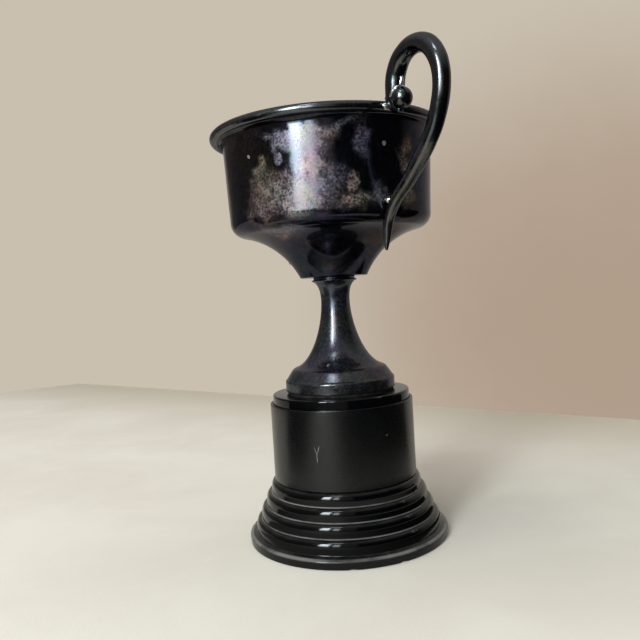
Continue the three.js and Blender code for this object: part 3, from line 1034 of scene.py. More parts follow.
def low(node: str) -> float:
    """The height of a CAD node's lowest point, in millimetres."""
    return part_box(node)[0].z / MILLIMETRE


def high(node: str) -> float:
    """The height of a CAD node's highest point, in millimetres."""
    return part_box(node)[1].z / MILLIMETRE


def reach(node: str) -> float:
    """A turned CAD node's outer radius, in millimetres."""
    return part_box(node)[1].x / MILLIMETRE


# ---- The plinth ----


@dataclass
class Plinth:
    """The hollow moulded plinth and the painted band round its drum."""

    base_radius: float = field(default_factory=lambda: reach("plinth_body"))
    height: float = field(default_factory=lambda: high("plinth_body"))
    sleeve_radius: float = field(default_factory=lambda: reach("plinth_sleeve"))
    sleeve_top: float = field(default_factory=lambda: high("plinth_sleeve"))
    stud_hole: float = 3.4
    drum_radius: float = 30.3
    band_height: float = 3.3
    ledge: float = 3.1
    ledge_rise: float = 1.1
    foot_width: float = 4.4
    ring_count: int = 4
    ring_pitch: float = 5.55
    ring_round: float = 3.45
    ring_lip: float = 0.12
    crown_pull: float = 0.45
    crown_lean: float = 0.6
    crown_steps: int = 12
    crease_gap: float = 0.02
    sleeve_ledge: float = 1.7
    wall: float = 3.8
    top_thickness: float = 5.0
    boss_radius: float = 8.0
    boss_drop: float = 5.0
    edge_round: float = 0.55
    chip_depth: float = 0.5
    chip_reach: float = 1.6
    chips_per_metre: float = 210.0
    chip_start: float = 0.34
    chip_slope: float = 4.0
    chip_lift: float = 0.6
    edge_rub: tuple[float, float] = (0.8, 1.1)  # how far in from the band's edge, and how wide
    # width of the painted highlight along each ring's crease
    crease_highlight_width: float = 0.60
    sleeve_gap: float = 0.05
    sleeve_cuts: int = 10

    @property
    def ledge_top(self) -> float:
        """The height at which the lowest ring starts."""
        return self.band_height + self.ledge_rise

    @property
    def rings_top(self) -> float:
        """The height of the top ring's upper side."""
        return self.ledge_top + self.ring_count * self.ring_pitch

    @property
    def low_ring(self) -> float:
        """The lowest ring's radius."""
        return self.base_radius - self.ledge

    @property
    def ring_step(self) -> float:
        """How much smaller each ring is than the one under it."""
        return (self.low_ring - (self.sleeve_radius + self.sleeve_ledge)) / (self.ring_count - 1)

    def worn_edge_and_crease_highlights(self) -> tuple[Ridge, ...]:
        """Where the moulding is painted pale: the base band's worn edge, and a painted highlight along the crease
        under each upper ring.

        Returns:
            Each line's radius, height and width.
        """
        lines = [
            (self.low_ring - ring * self.ring_step, self.ledge_top + ring * self.ring_pitch, self.crease_highlight_width)
            for ring in range(1, self.ring_count)
        ]
        inset, width = self.edge_rub
        return ((self.base_radius - inset, self.band_height, width), *lines)

    def ring_outline(self) -> list[Corner | Point]:
        """The rings' outline, from the lowest up."""
        step = self.ring_step
        corners: list[Corner | Point] = [(self.low_ring, self.ledge_top, 0.35)]
        for ring in range(self.ring_count):
            radius = self.low_ring - ring * step
            top = self.ledge_top + (ring + 1) * self.ring_pitch
            last = ring == self.ring_count - 1
            inner = self.drum_radius if last else radius - step
            crown = inner + (radius - inner) * self.ring_lip
            shoulder = top - self.ring_round
            controls = [
                (radius, shoulder),
                (radius, shoulder + self.ring_round * (1 - self.crown_pull * self.crown_lean)),
                (crown + (radius - crown) * (1 - self.crown_pull), top),
                (crown, top),
            ]
            corners += bezier(controls, self.crown_steps)
            corners.append((inner, top + self.crease_gap, 0.18))
        return corners

    def body(self) -> bmesh.types.BMesh:
        """The moulding: base band, rings, drum, cap, and the hollow with its boss."""
        under_top = self.height - self.top_thickness
        boss_bottom = under_top - self.boss_drop
        inner_foot = self.base_radius - self.foot_width
        corners = [
            (inner_foot, 0, 0.6),
            (self.base_radius, 0, self.edge_round),
            (self.base_radius, self.band_height, self.edge_round),
            *self.ring_outline(),
            (self.drum_radius, self.height, 0.8),
            (self.stud_hole, self.height, 0.4),
            (self.stud_hole, boss_bottom, 0.3),
            (self.boss_radius, boss_bottom, 0.6),
            (self.boss_radius, under_top, 1.2),
            (self.drum_radius - self.wall, under_top, 2.0),
            (self.drum_radius - self.wall, self.rings_top - self.wall, 2.0),
            (inner_foot, self.band_height, 1.0),
        ]
        mesh = turned(softened(corners, closed=True), closed=True)
        self.chip(mesh)
        return mesh

    def chip(self, mesh: bmesh.types.BMesh) -> None:
        """Knocks small chips out of the base's lower edge, as a plinth that has been dropped has."""
        for vert in mesh.verts:
            radius = math.hypot(vert.co.x, vert.co.y) / MILLIMETRE
            height = vert.co.z / MILLIMETRE
            near = 1 - min(math.hypot(radius - self.base_radius, height) / self.chip_reach, 1)
            if near <= 0:
                continue
            bump = noise.noise(Vector((vert.co.x, vert.co.y, 0)) * self.chips_per_metre)
            knock = max(bump - self.chip_start, 0) * self.chip_slope
            move = min(knock, 1) * near * self.chip_depth * MILLIMETRE
            vert.co.x *= 1 - move / math.hypot(vert.co.x, vert.co.y)
            vert.co.y *= 1 - move / math.hypot(vert.co.x, vert.co.y)
            vert.co.z += move * self.chip_lift

    def sleeve(self) -> bmesh.types.BMesh:
        """The painted sheet band, with its edges dressed round."""
        bottom = self.rings_top + self.sleeve_gap
        mesh = disc(self.drum_radius + self.sleeve_gap, self.sleeve_radius, bottom, self.sleeve_top, 0.4)
        half_height = (self.sleeve_top - bottom) / 2 * MILLIMETRE
        upright = [edge for edge in mesh.edges if abs(edge.verts[0].co.z - edge.verts[1].co.z) > half_height]
        bmesh.ops.subdivide_edges(mesh, edges=upright, cuts=self.sleeve_cuts)
        ruffled(mesh, depth=0.05, spread=26.0, seed=4.0)
        return mesh

    def build(self, shop: Workshop, moulding: Finish, paint: Finish) -> None:
        """Makes the plinth's two pieces."""
        shop.piece("moulded_plinth", self.body(), "plinth_body", moulding)
        shop.piece("drum_band", self.sleeve(), "plinth_sleeve", paint)


# ---- What clamps the cup down ----


@dataclass
class Clamp:
    """The stud, nut, washers and discs between the pedestal and the plinth."""

    stud_radius: float = 3.0
    thread_pitch: float = 1.0
    thread_depth: float = 0.55
    hole: float = 3.2
    slit: float = 1.2
    thread_start: float = 0.4
    spare_threads: int = 4
    nut_clearance: float = 0.05
    nut_edge: float = 0.12
    chamfer: float = 30.0  # degrees

    def stud(self) -> bmesh.types.BMesh:
        """The stud: a flat head, a shank and a threaded tail."""
        bottom = low("tie_stud")
        top = high("tie_stud")
        head_bottom = high("foot_plate")
        core = self.stud_radius - self.thread_depth
        outline: list[Corner | Point] = [(0, bottom), (core - 0.3, bottom, 0.2)]
        turns = int((low("plinth_washer") - bottom) / self.thread_pitch) + self.spare_threads
        for turn in range(turns):
            start = bottom + self.thread_start + turn * self.thread_pitch
            outline += [(core, start, 0.1), (self.stud_radius, start + self.thread_pitch / 2, 0.1)]
        shank = bottom + self.thread_start + turns * self.thread_pitch
        head = reach("tie_stud")
        outline += [
            (self.stud_radius, shank, 0.1),
            (self.stud_radius, head_bottom, 0.2),
            (head, head_bottom, 0.3),
            (head, top, 0.6),
            (0, top),
        ]
        return turned(softened(outline, steps=3), steps=48)

    def nut(self) -> bmesh.types.BMesh:
        """The hexagon nut, with its corners chamfered and a bore."""
        bottom = low("plinth_nut") * MILLIMETRE
        depth = (high("plinth_nut") - low("plinth_nut")) * MILLIMETRE
        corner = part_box("plinth_nut")[1].x
        bore = (self.stud_radius + self.nut_clearance) * MILLIMETRE
        chamfer = math.radians(self.chamfer)
        mesh = bmesh.new()
        outer = bmesh.ops.create_circle(mesh, segments=6, radius=corner)["verts"]
        bmesh.ops.rotate(mesh, verts=outer, cent=(0, 0, 0), matrix=Matrix.Rotation(math.pi / 6, 3, "Z"))
        rim = list({edge for vert in outer for edge in vert.link_edges})
        bmesh.ops.subdivide_edges(mesh, edges=rim, cuts=7)
        rim = list(mesh.edges)
        hole = bmesh.ops.create_circle(mesh, segments=48, radius=bore)["verts"]
        hole_rim = list({edge for vert in hole for edge in vert.link_edges})
        bmesh.ops.bridge_loops(mesh, edges=rim + hole_rim)
        grown = bmesh.ops.extrude_face_region(mesh, geom=mesh.faces[:])
        lifted = [item for item in grown["geom"] if isinstance(item, bmesh.types.BMVert)]
        bmesh.ops.translate(mesh, vec=(0, 0, depth), verts=lifted)
        bmesh.ops.recalc_face_normals(mesh, faces=mesh.faces)
        flat = corner * math.cos(math.pi / 6)
        for vert in mesh.verts:
            drop = max(vert.co.xy.length - flat, 0) * math.tan(chamfer)
            vert.co.z += drop if vert.co.z < depth / 2 else -drop
        sharp = [edge for edge in mesh.edges if edge.calc_face_angle(0) > chamfer]
        bmesh.ops.bevel(
            mesh,
            geom=sharp,
            offset=self.nut_edge * MILLIMETRE,
            offset_type="OFFSET",
            affect="EDGES",
            segments=2,
            profile=0.5,
            material=-1,
        )
        bmesh.ops.translate(mesh, vec=(0, 0, bottom), verts=mesh.verts)
        return mesh

    def spring_washer(self) -> bmesh.types.BMesh:
        """The split washer: a square section spun almost once round."""
        bottom, top = low("lock_washer"), high("lock_washer")
        outer = reach("lock_washer")
        mesh = bmesh.new()
        outline = softened(
            [(x, z, 0.15) for x, z in [(self.hole, bottom), (outer, bottom), (outer, top), (self.hole, top)]],
            closed=True,
            steps=2,
        )
        half = self.slit / 2 / outer
        verts = plotted(mesh, outline)
        face = mesh.faces.new(verts)
        bmesh.ops.rotate(mesh, verts=verts, cent=(0, 0, 0), matrix=Matrix.Rotation(half, 3, "Z"))
        spun(mesh, [face, *face.edges, *verts], FULL_TURN - 2 * half, steps=60)
        bmesh.ops.remove_doubles(mesh, verts=mesh.verts, dist=MERGE_DISTANCE)
        open_edges = [edge for edge in mesh.edges if len(edge.link_faces) == 1]
        if open_edges:
            bmesh.ops.holes_fill(mesh, edges=open_edges)
        bmesh.ops.recalc_face_normals(mesh, faces=mesh.faces)
        return mesh

    def build(self, shop: Workshop, steel: Finish, fibre: Finish) -> None:
        """Makes the clamp's pieces."""
        foot = low("pedestal")
        gasket = disc(self.hole, reach("foot_gasket"), high("plinth_body"), foot, 0.25)
        ruffled(gasket, depth=0.12, spread=3.0, seed=2.0)
        washer = disc(self.hole, reach("plinth_washer"), low("plinth_washer"), high("plinth_washer"), 0.25)
        plate = disc(self.hole, reach("foot_plate"), low("foot_plate"), high("foot_plate"), 0.3)
        shop.piece("clamp_stud", self.stud(), "tie_stud", steel)
        shop.piece("hexagon_nut", self.nut(), "plinth_nut", steel)
        shop.piece("split_washer", self.spring_washer(), "lock_washer", steel)
        shop.piece("wide_washer", washer, "plinth_washer", steel)
        shop.piece("backing_plate", plate, "foot_plate", steel)
        shop.piece("fibre_disc", gasket, "foot_gasket", fibre)


# ---- The pedestal and its collar ----


@dataclass
class Pedestal:
    """The spun foot, trumpet stem and flange, and the collar that the bowl is soldered to."""

    bottom: float = field(default_factory=lambda: low("pedestal"))
    top: float = field(default_factory=lambda: high("pedestal"))
    foot_radius: float = field(default_factory=lambda: reach("pedestal"))
    wall: float = 1.0
    foot_band: float = 4.5
    foot_round: float = 0.8
    shoulder_inset: float = 3.6
    shoulder_rise: float = 4.0
    step_in: float = 1.0
    step_rise: float = 0.6
    waist_radius: float = 6.35
    waist_depth: float = 8.9
    flange_radius: float = 10.0
    flange_lip: float = 0.5
    collar_bore: float = 5.0
    foot_pull: Point = (0.42, 0.14)
    waist_pull: float = 0.62
    neck_pull: float = 0.35
    lip_pull: Point = (0.15, 0.11)
    slope_pull: float = 0.25

    def stem(self, foot: Point) -> list[Point]:
        """The trumpet stem's outline, from the foot up to the flange.

        Args:
            foot: where the stem meets the foot, as (radius, height).

        Returns:
            The outline's points.
        """
        waist_height = self.top - self.waist_depth
        flange_height = self.top - self.flange_lip
        spread = foot[0] - self.waist_radius
        rise = flange_height - waist_height
        overhang = self.flange_radius - self.waist_radius
        lower = [
            foot,
            (self.waist_radius + self.foot_pull[0] * spread, foot[1] + self.foot_pull[1] * spread),
            (self.waist_radius, foot[1] + self.waist_pull * (waist_height - foot[1])),
            (self.waist_radius, waist_height),
        ]
        upper = [
            (self.waist_radius, waist_height),
            (self.waist_radius, waist_height + self.neck_pull * rise),
            (self.waist_radius + self.lip_pull[0] * overhang, flange_height - self.lip_pull[1] * rise),
            (self.flange_radius, flange_height),
        ]
        return bezier(lower, 34) + bezier(upper, 16)[1:]

    def shell(self) -> bmesh.types.BMesh:
        """The pedestal's closed mesh."""
        shoulder = self.foot_radius - self.shoulder_inset
        band_top = self.bottom + self.foot_band
        shoulder_top = band_top + self.foot_round + self.shoulder_rise
        stem = self.stem((shoulder - self.step_in, shoulder_top + self.step_rise))
        slope = bezier(
            [
                (self.foot_radius - self.foot_round, band_top + self.foot_round),
                (
                    shoulder + self.slope_pull * self.shoulder_inset,
                    shoulder_top - self.slope_pull * self.shoulder_rise,
                ),
                (shoulder, shoulder_top),
            ],
            8,
        )
        inner_stem = [p for p in offset(stem, self.wall) if p[1] < self.top - 2 * self.wall]
        corners = [
            (self.foot_radius, self.bottom, 0.35),
            (self.foot_radius, band_top, 0.45),
            (*slope[0], 0.35),
            *slope[1:-1],
            (*slope[-1], 0.3),
            (*stem[0], 0.3),
            *stem[1:-1],
            (*stem[-1], 0.12),
            (self.flange_radius, self.top, 0.2),
            (0, self.top),
            (0, inner_stem[-1][1]),
            *reversed(inner_stem),
            (shoulder - self.wall, shoulder_top - self.wall),
            (self.foot_radius - self.wall, band_top),
            (self.foot_radius - self.wall, self.bottom, 0.2),
        ]
        mesh = turned(softened(corners, closed=True), closed=True)
        ruffled(mesh, depth=0.05, spread=9.0, seed=7.0)
        return mesh

    def build(self, shop: Workshop, plate: Finish, pewter: Finish) -> None:
        """Makes the pedestal and the collar."""
        collar = disc(self.collar_bore, reach("bowl_collar"), self.top, low("bowl"), 0.3)
        shop.piece("spun_pedestal", self.shell(), "pedestal", plate)
        shop.piece("soldered_collar", collar, "bowl_collar", pewter)


# ---- The bowl and its rim ----


@dataclass
class Bowl:
    """The spun bowl and the round wire along its lip."""

    bottom: float = field(default_factory=lambda: low("bowl"))
    wire_height: float = field(default_factory=lambda: (low("rim_bead") + high("rim_bead")) / 2)
    wire_radius: float = field(default_factory=lambda: (high("rim_bead") - low("rim_bead")) / 2)
    rim_reach: float = field(default_factory=lambda: reach("rim_bead"))
    wall: float = 1.0
    floor_radius: float = 14.8
    ogee_radius: float = 35.3
    shoulder_radius: float = 6.2
    shoulder_rise: float = 25.4
    wall_radius: float = 44.0
    mouth_radius: float = 45.4
    flare_height: float = 4.2
    lip_tuck: Point = (0.80, 0.58)  # of the wire's radius: how far the lip ends in from its centre, and below

    @property
    def circle_radius(self) -> float:
        """The radius of the circle that the wire's centre runs along."""
        return self.rim_reach - self.wire_radius

    def outline(self) -> list[Point]:
        """The bowl's outside, from the floor's edge up to the lip."""
        edge = Vector((self.floor_radius, self.bottom))
        shoulder = Vector((self.wall_radius - self.shoulder_radius, self.bottom + self.shoulder_rise))
        way = shoulder - edge
        reach_both = self.ogee_radius + self.shoulder_radius
        along = (way.length_squared + self.ogee_radius**2 - reach_both**2) / (2 * way.length)
        aside = math.sqrt(self.ogee_radius**2 - along**2)
        unit = way.normalized()
        ogee = edge + unit * along + Vector((unit.y, -unit.x)) * aside
        start = math.degrees(math.atan2(edge.y - ogee.y, edge.x - ogee.x))
        end = math.degrees(math.atan2(shoulder.y - ogee.y, shoulder.x - ogee.x))
        lip = (
            self.circle_radius - self.wire_radius * self.lip_tuck[0],
            self.wire_height - self.wire_radius * self.lip_tuck[1],
        )
        flare = [
            (self.mouth_radius, self.wire_height - self.flare_height),
            (self.mouth_radius + 0.1, lip[1] - 0.3),
            lip,
        ]
        wall = bezier([(self.wall_radius, shoulder.y), flare[0]], 12)[1:-1]
        return [
            *arc(tuple(ogee), self.ogee_radius, start % 360, end % 360, 36),
            *arc(tuple(shoulder), self.shoulder_radius, end % 360 - 180, 0, 22)[1:],
            *wall,
            *bezier(flare, 10),
        ]

    def shell(self) -> bmesh.types.BMesh:
        """The bowl's closed mesh."""
        outside = self.outline()
        inside = offset(outside, self.wall)
        corners = [
            (0, self.bottom),
            (*outside[0], 0.35),
            *outside[1:-1],
            (*outside[-1], 0.3),
            (*inside[-1], 0.3),
            *reversed(inside[1:-1]),
            (inside[0][0], self.bottom + self.wall, 0.6),
            (0, self.bottom + self.wall),
        ]
        mesh = turned(softened(corners))
        ruffled(mesh, depth=0.07, spread=17.0, seed=3.0)
        return mesh

    def rim(self) -> bmesh.types.BMesh:
        """The wire round the lip."""
        centre = (self.circle_radius, self.wire_height)
        mesh = turned(arc(centre, self.wire_radius, 0, 360, 28)[:-1], closed=True)
        ruffled(mesh, depth=0.05, spread=8.0, seed=5.0)
        return mesh

    def build(self, shop: Workshop, plate: Finish, pewter: Finish) -> None:
        """Makes the bowl and its rim wire."""
        shop.piece("spun_bowl", self.shell(), "bowl", plate)
        shop.piece("rim_wire", self.rim(), "rim_bead", pewter)


# ---- A handle ----


@dataclass(frozen=True)
class Lump:
    """A lump of solder: its place out, across and up from a point, its half widths, and its lean in degrees."""

    place: Place
    size: Place
    seed: float
    lean: float = 0.0

    def build(self, start: Vector) -> bmesh.types.BMesh:
        """Makes the lump at its place from a starting point."""
        turn = Matrix.Rotation(math.radians(self.lean), 4, "Y")
        return blob(start + Vector(self.place), Vector(self.size), self.seed, turn)


@dataclass
class Handle:
    """A cast scroll handle with its ball and the solder that holds it.

    The bar's knots are (out, up, bar radius). The scroll's are placed from the centre of the rim wire, and the
    tail's from the end of the bowl's shoulder.
    """

    side: Side
    bowl: Bowl
    scroll: tuple[Knot, ...] = (
        (5.4, -2.2, 1.5),
        (3.5, -0.7, 2.5),
        (2.8, 2.4, 3.3),
        (3.2, 5.5, 3.65),
        (4.5, 11.2, 3.75),
        (8.4, 16, 3.6),
        (15.5, 18.1, 3.45),
        (23.3, 15.7, 3.45),
        (28.1, 9.6, 3.4),
        (29.7, 2, 3.2),
        (27.7, -7.1, 3.15),
        (22.3, -16.2, 2.95),
    )
    tail: tuple[Knot, ...] = (
        (15.3, 8.9, 2.75),
        (5, 1.3, 2.35),
        (-0.2, -5.2, 2.05),
        (-1.8, -11.1, 1.6),
        (-2.8, -16.6, 0.6),
    )
    bar_sides: int = 36
    steps_per_knot: int = 9
    tip_steps: int = 5
    ball_radius: float = 4.05
    ball_stand_off: float = 1.38
    ball_rise: float = 11.7
    fillet_ring: float = 2.75
    fillet_round: float = 0.78
    fillet_place: Place = (-2.2, 0, 2.2)
    fillet_lean: float = -45.0
    rim_lumps: tuple[Lump, ...] = (
        Lump((0.5, 0, 2.9), (1.9, 2.6, 1.5), seed=1.0),
        Lump((1.6, -3.1, -0.4), (1.2, 1.8, 1.5), seed=2.0),
        Lump((7.2, 0.1, 7.2), (0.6, 0.8, 2.7), seed=4.0, lean=12.0),
    )
    tail_lump: Lump = Lump((1.5, 0, 1.6), (1.9, 2.4, 1.7), seed=8.0)

    @property
    def label(self) -> str:
        """The side's name, as the CAD nodes end with it."""
        return self.side.name.lower()

    def rim_point(self, out: float, up: float) -> Vector:
        """A point placed from the centre of the rim wire, on the +X side."""
        return Vector((self.bowl.circle_radius + out, 0, self.bowl.wire_height + up))

    def shoulder_point(self, out: float, up: float) -> Vector:
        """A point placed from the end of the bowl's shoulder, on the +X side."""
        height = self.bowl.bottom + self.bowl.shoulder_rise
        return Vector((self.bowl.wall_radius + out, 0, height + up))

    def stations(self) -> list[tuple[Vector, float]]:
        """The bar's centre line as (place, bar radius), on a centripetal spline through its knots."""
        knots = [Vector((*self.rim_point(out, up).xz, radius)) for out, up, radius in self.scroll]
        knots += [Vector((*self.shoulder_point(out, up).xz, radius)) for out, up, radius in self.tail]
        ends = [2 * knots[0] - knots[1], 2 * knots[-1] - knots[-2]]
        knots = [ends[0], *knots, ends[1]]
        line: list[tuple[Vector, float]] = []
        for a, b, c, d in zip(knots, knots[1:], knots[2:], knots[3:]):
            spans = [math.sqrt((q - p).length) for p, q in ((a, b), (b, c), (c, d))]
            leave = (b - a) / spans[0] - (c - a) / (spans[0] + spans[1]) + (c - b) / spans[1]
            arrive = (c - b) / spans[1] - (d - b) / (spans[1] + spans[2]) + (d - c) / spans[2]
            controls = [b, b + leave * spans[1] / 3, c - arrive * spans[1] / 3, c]
            for i in range(self.steps_per_knot):
                knot = along_bezier(controls, i / self.steps_per_knot)
                line.append((Vector((knot.x, 0, knot.y)), knot.z))
        last = knots[-2]
        line.append((Vector((last.x, 0, last.y)), last.z))
        return line

    def bar(self) -> bmesh.types.BMesh:
        """The bar: a ring extruded from station to station, with rounded ends."""
        line = self.stations()
        places = [place for place, _ in line]
        ahead = [(b - a).normalized() for a, b in zip(places, places[1:])]
        headings = [ahead[0], *[(a + b).normalized() for a, b in zip(ahead, ahead[1:])], ahead[-1]]
        sections = [(place, heading, radius) for (place, radius), heading in zip(line, headings)]
        first, final = sections[0], sections[-1]
        angles = [math.pi / 2 * i / self.tip_steps for i in range(1, self.tip_steps)]
        ends = []
        for (place, heading, radius), sign in ((first, -1), (final, 1)):
            cap = [
                (place + heading * sign * radius * math.sin(a), heading, radius * math.cos(a))
                for a in angles
            ]
            ends.append(cap)
        sections = [*reversed(ends[0]), *sections, *ends[1]]
        mesh = bmesh.new()
        ring = bmesh.ops.create_circle(mesh, segments=self.bar_sides, radius=1.0)["verts"]
        across = Vector((0, 1, 0))
        last = Matrix.Identity(4)
        start_ring = ring
        for i, (place, heading, radius) in enumerate(sections):
            side_way = across.cross(heading)
            frame_now = Matrix((side_way, across, heading)).transposed().to_4x4()
            size = radius * MILLIMETRE
            now = Matrix.Translation(place * MILLIMETRE) @ frame_now @ Matrix.Diagonal((size, size, size, 1))
            if i:
                edges = list({e for v in ring for e in v.link_edges if e.other_vert(v) in set(ring)})
                grown = bmesh.ops.extrude_edge_only(mesh, edges=edges)["geom"]
                ring = [item for item in grown if isinstance(item, bmesh.types.BMVert)]
            bmesh.ops.transform(mesh, matrix=now @ last.inverted(), verts=ring)
            last = now
        for loop in (start_ring, ring):
            bmesh.ops.contextual_create(mesh, geom=loop)
        caps = [face for face in mesh.faces if len(face.verts) > 4]
        bmesh.ops.poke(mesh, faces=caps)
        bmesh.ops.remove_doubles(mesh, verts=mesh.verts, dist=MERGE_DISTANCE)
        bmesh.ops.recalc_face_normals(mesh, faces=mesh.faces)
        ruffled(mesh, depth=0.10, spread=5.0, seed=11.0)
        return mesh

    def ball_centre(self) -> Vector:
        """The ball's centre, on the +X side."""
        away = self.bowl.wire_radius + self.ball_stand_off + self.ball_radius
        rise = math.radians(self.ball_rise)
        return self.rim_point(away * math.cos(rise), away * math.sin(rise))

    def ball(self) -> bmesh.types.BMesh:
        """The ball that ends the scroll."""
        mesh = bmesh.new()
        radius = self.ball_radius * MILLIMETRE
        bmesh.ops.create_uvsphere(mesh, u_segments=64, v_segments=32, radius=radius)
        bmesh.ops.translate(mesh, vec=self.ball_centre() * MILLIMETRE, verts=mesh.verts)
        ruffled(mesh, depth=0.06, spread=3.0, seed=6.0)
        return mesh

    def rim_solder(self) -> bmesh.types.BMesh:
        """The solder at the rim: a blob, the fillet between ball and bar, and a run up the bar."""
        fillet = turned(arc((self.fillet_ring, 0), self.fillet_round, 0, 360, 12)[:-1], closed=True, steps=48)
        ruffled(fillet, depth=0.25, spread=1.6, seed=9.0)
        lean = Matrix.Rotation(math.radians(self.fillet_lean), 4, "Y")
        bmesh.ops.transform(fillet, matrix=lean, verts=fillet.verts)
        middle = self.ball_centre() + Vector(self.fillet_place)
        bmesh.ops.translate(fillet, vec=middle * MILLIMETRE, verts=fillet.verts)
        return joined([*(lump.build(self.rim_point(0, 0)) for lump in self.rim_lumps), fillet])

    def tail_solder(self) -> bmesh.types.BMesh:
        """The bead of solder where the tail meets the bowl."""
        return self.tail_lump.build(self.shoulder_point(0, 0))

    def build(self, shop: Workshop, pewter: Finish, solder: Finish) -> None:
        """Makes the handle's four pieces on its side."""
        turn = Matrix.Rotation(math.radians(self.side.value), 4, "Z")
        meshes = {
            "handle": ("scroll_bar", self.bar(), pewter),
            "handle_ball": ("scroll_ball", self.ball(), pewter),
            "rim_solder": ("rim_solder_run", self.rim_solder(), solder),
            "tail_solder": ("tail_solder_bead", self.tail_solder(), solder),
        }
        for node, (name, mesh, finish) in meshes.items():
            bmesh.ops.transform(mesh, matrix=turn, verts=mesh.verts)
            shop.piece(f"{name}_{self.label}", mesh, f"{node}_{self.label}", finish)


# ---- The studio ----


@dataclass(frozen=True)
class Panel:
    """An upright soft light. Angles are in degrees, seen from the middle of the cup. The distance is in metres."""

    azimuth: float
    spread: float
    lowest: float
    highest: float
    radiance: float
    tint: Colour = (0.88, 0.96, 1.0)
    distance: float = 1.2

    def build(self, target: Vector) -> None:
        """Hangs the light round a target, facing it."""
        away = math.radians(self.azimuth)
        bottom, top = (self.distance * math.tan(math.radians(a)) for a in (self.lowest, self.highest))
        out = Vector((math.cos(away), math.sin(away), 0))
        data = bpy.data.lights.new("panel", "AREA")
        data.shape = "RECTANGLE"
        data.size = 2 * self.distance * math.tan(math.radians(self.spread / 2))
        data.size_y = top - bottom
        data.energy = self.radiance * math.pi * data.size * data.size_y
        data.color = self.tint
        light = bpy.data.objects.new("panel", data)
        light.location = target + out * self.distance + Vector((0, 0, (bottom + top) / 2))
        light.rotation_euler = (-out).to_track_quat("-Z", "Y").to_euler()
        light.visible_camera = False
        bpy.context.scene.collection.objects.link(light)


@dataclass(frozen=True)
class Camera:
    """Where the cup is seen from. Places are in metres and angles in degrees."""

    place: Place = (0.2563, -0.1540, 0.1072)
    heading: float = 150.41
    pitch: float = -2.197
    roll: float = -3.454
    lens: float = 37.71

    def build(self) -> None:
        """Makes the scene's camera."""
        azimuth, elevation, roll = (math.radians(a) for a in (self.heading, self.pitch, self.roll))
        ahead = Vector(
            (
                math.cos(elevation) * math.cos(azimuth),
                math.cos(elevation) * math.sin(azimuth),
                math.sin(elevation),
            )
        )
        level = Vector((math.sin(azimuth), -math.cos(azimuth), 0))
        upright = level.cross(ahead)
        right = level * math.cos(roll) + upright * math.sin(roll)
        up = upright * math.cos(roll) - level * math.sin(roll)
        data = bpy.data.cameras.new("camera")
        data.lens = self.lens
        data.clip_start = 0.01
        camera = bpy.data.objects.new("camera", data)
        turn = Matrix((right, up, -ahead)).transposed().to_4x4()
        camera.matrix_world = Matrix.Translation(self.place) @ turn
        bpy.context.scene.collection.objects.link(camera)
        bpy.context.scene.camera = camera


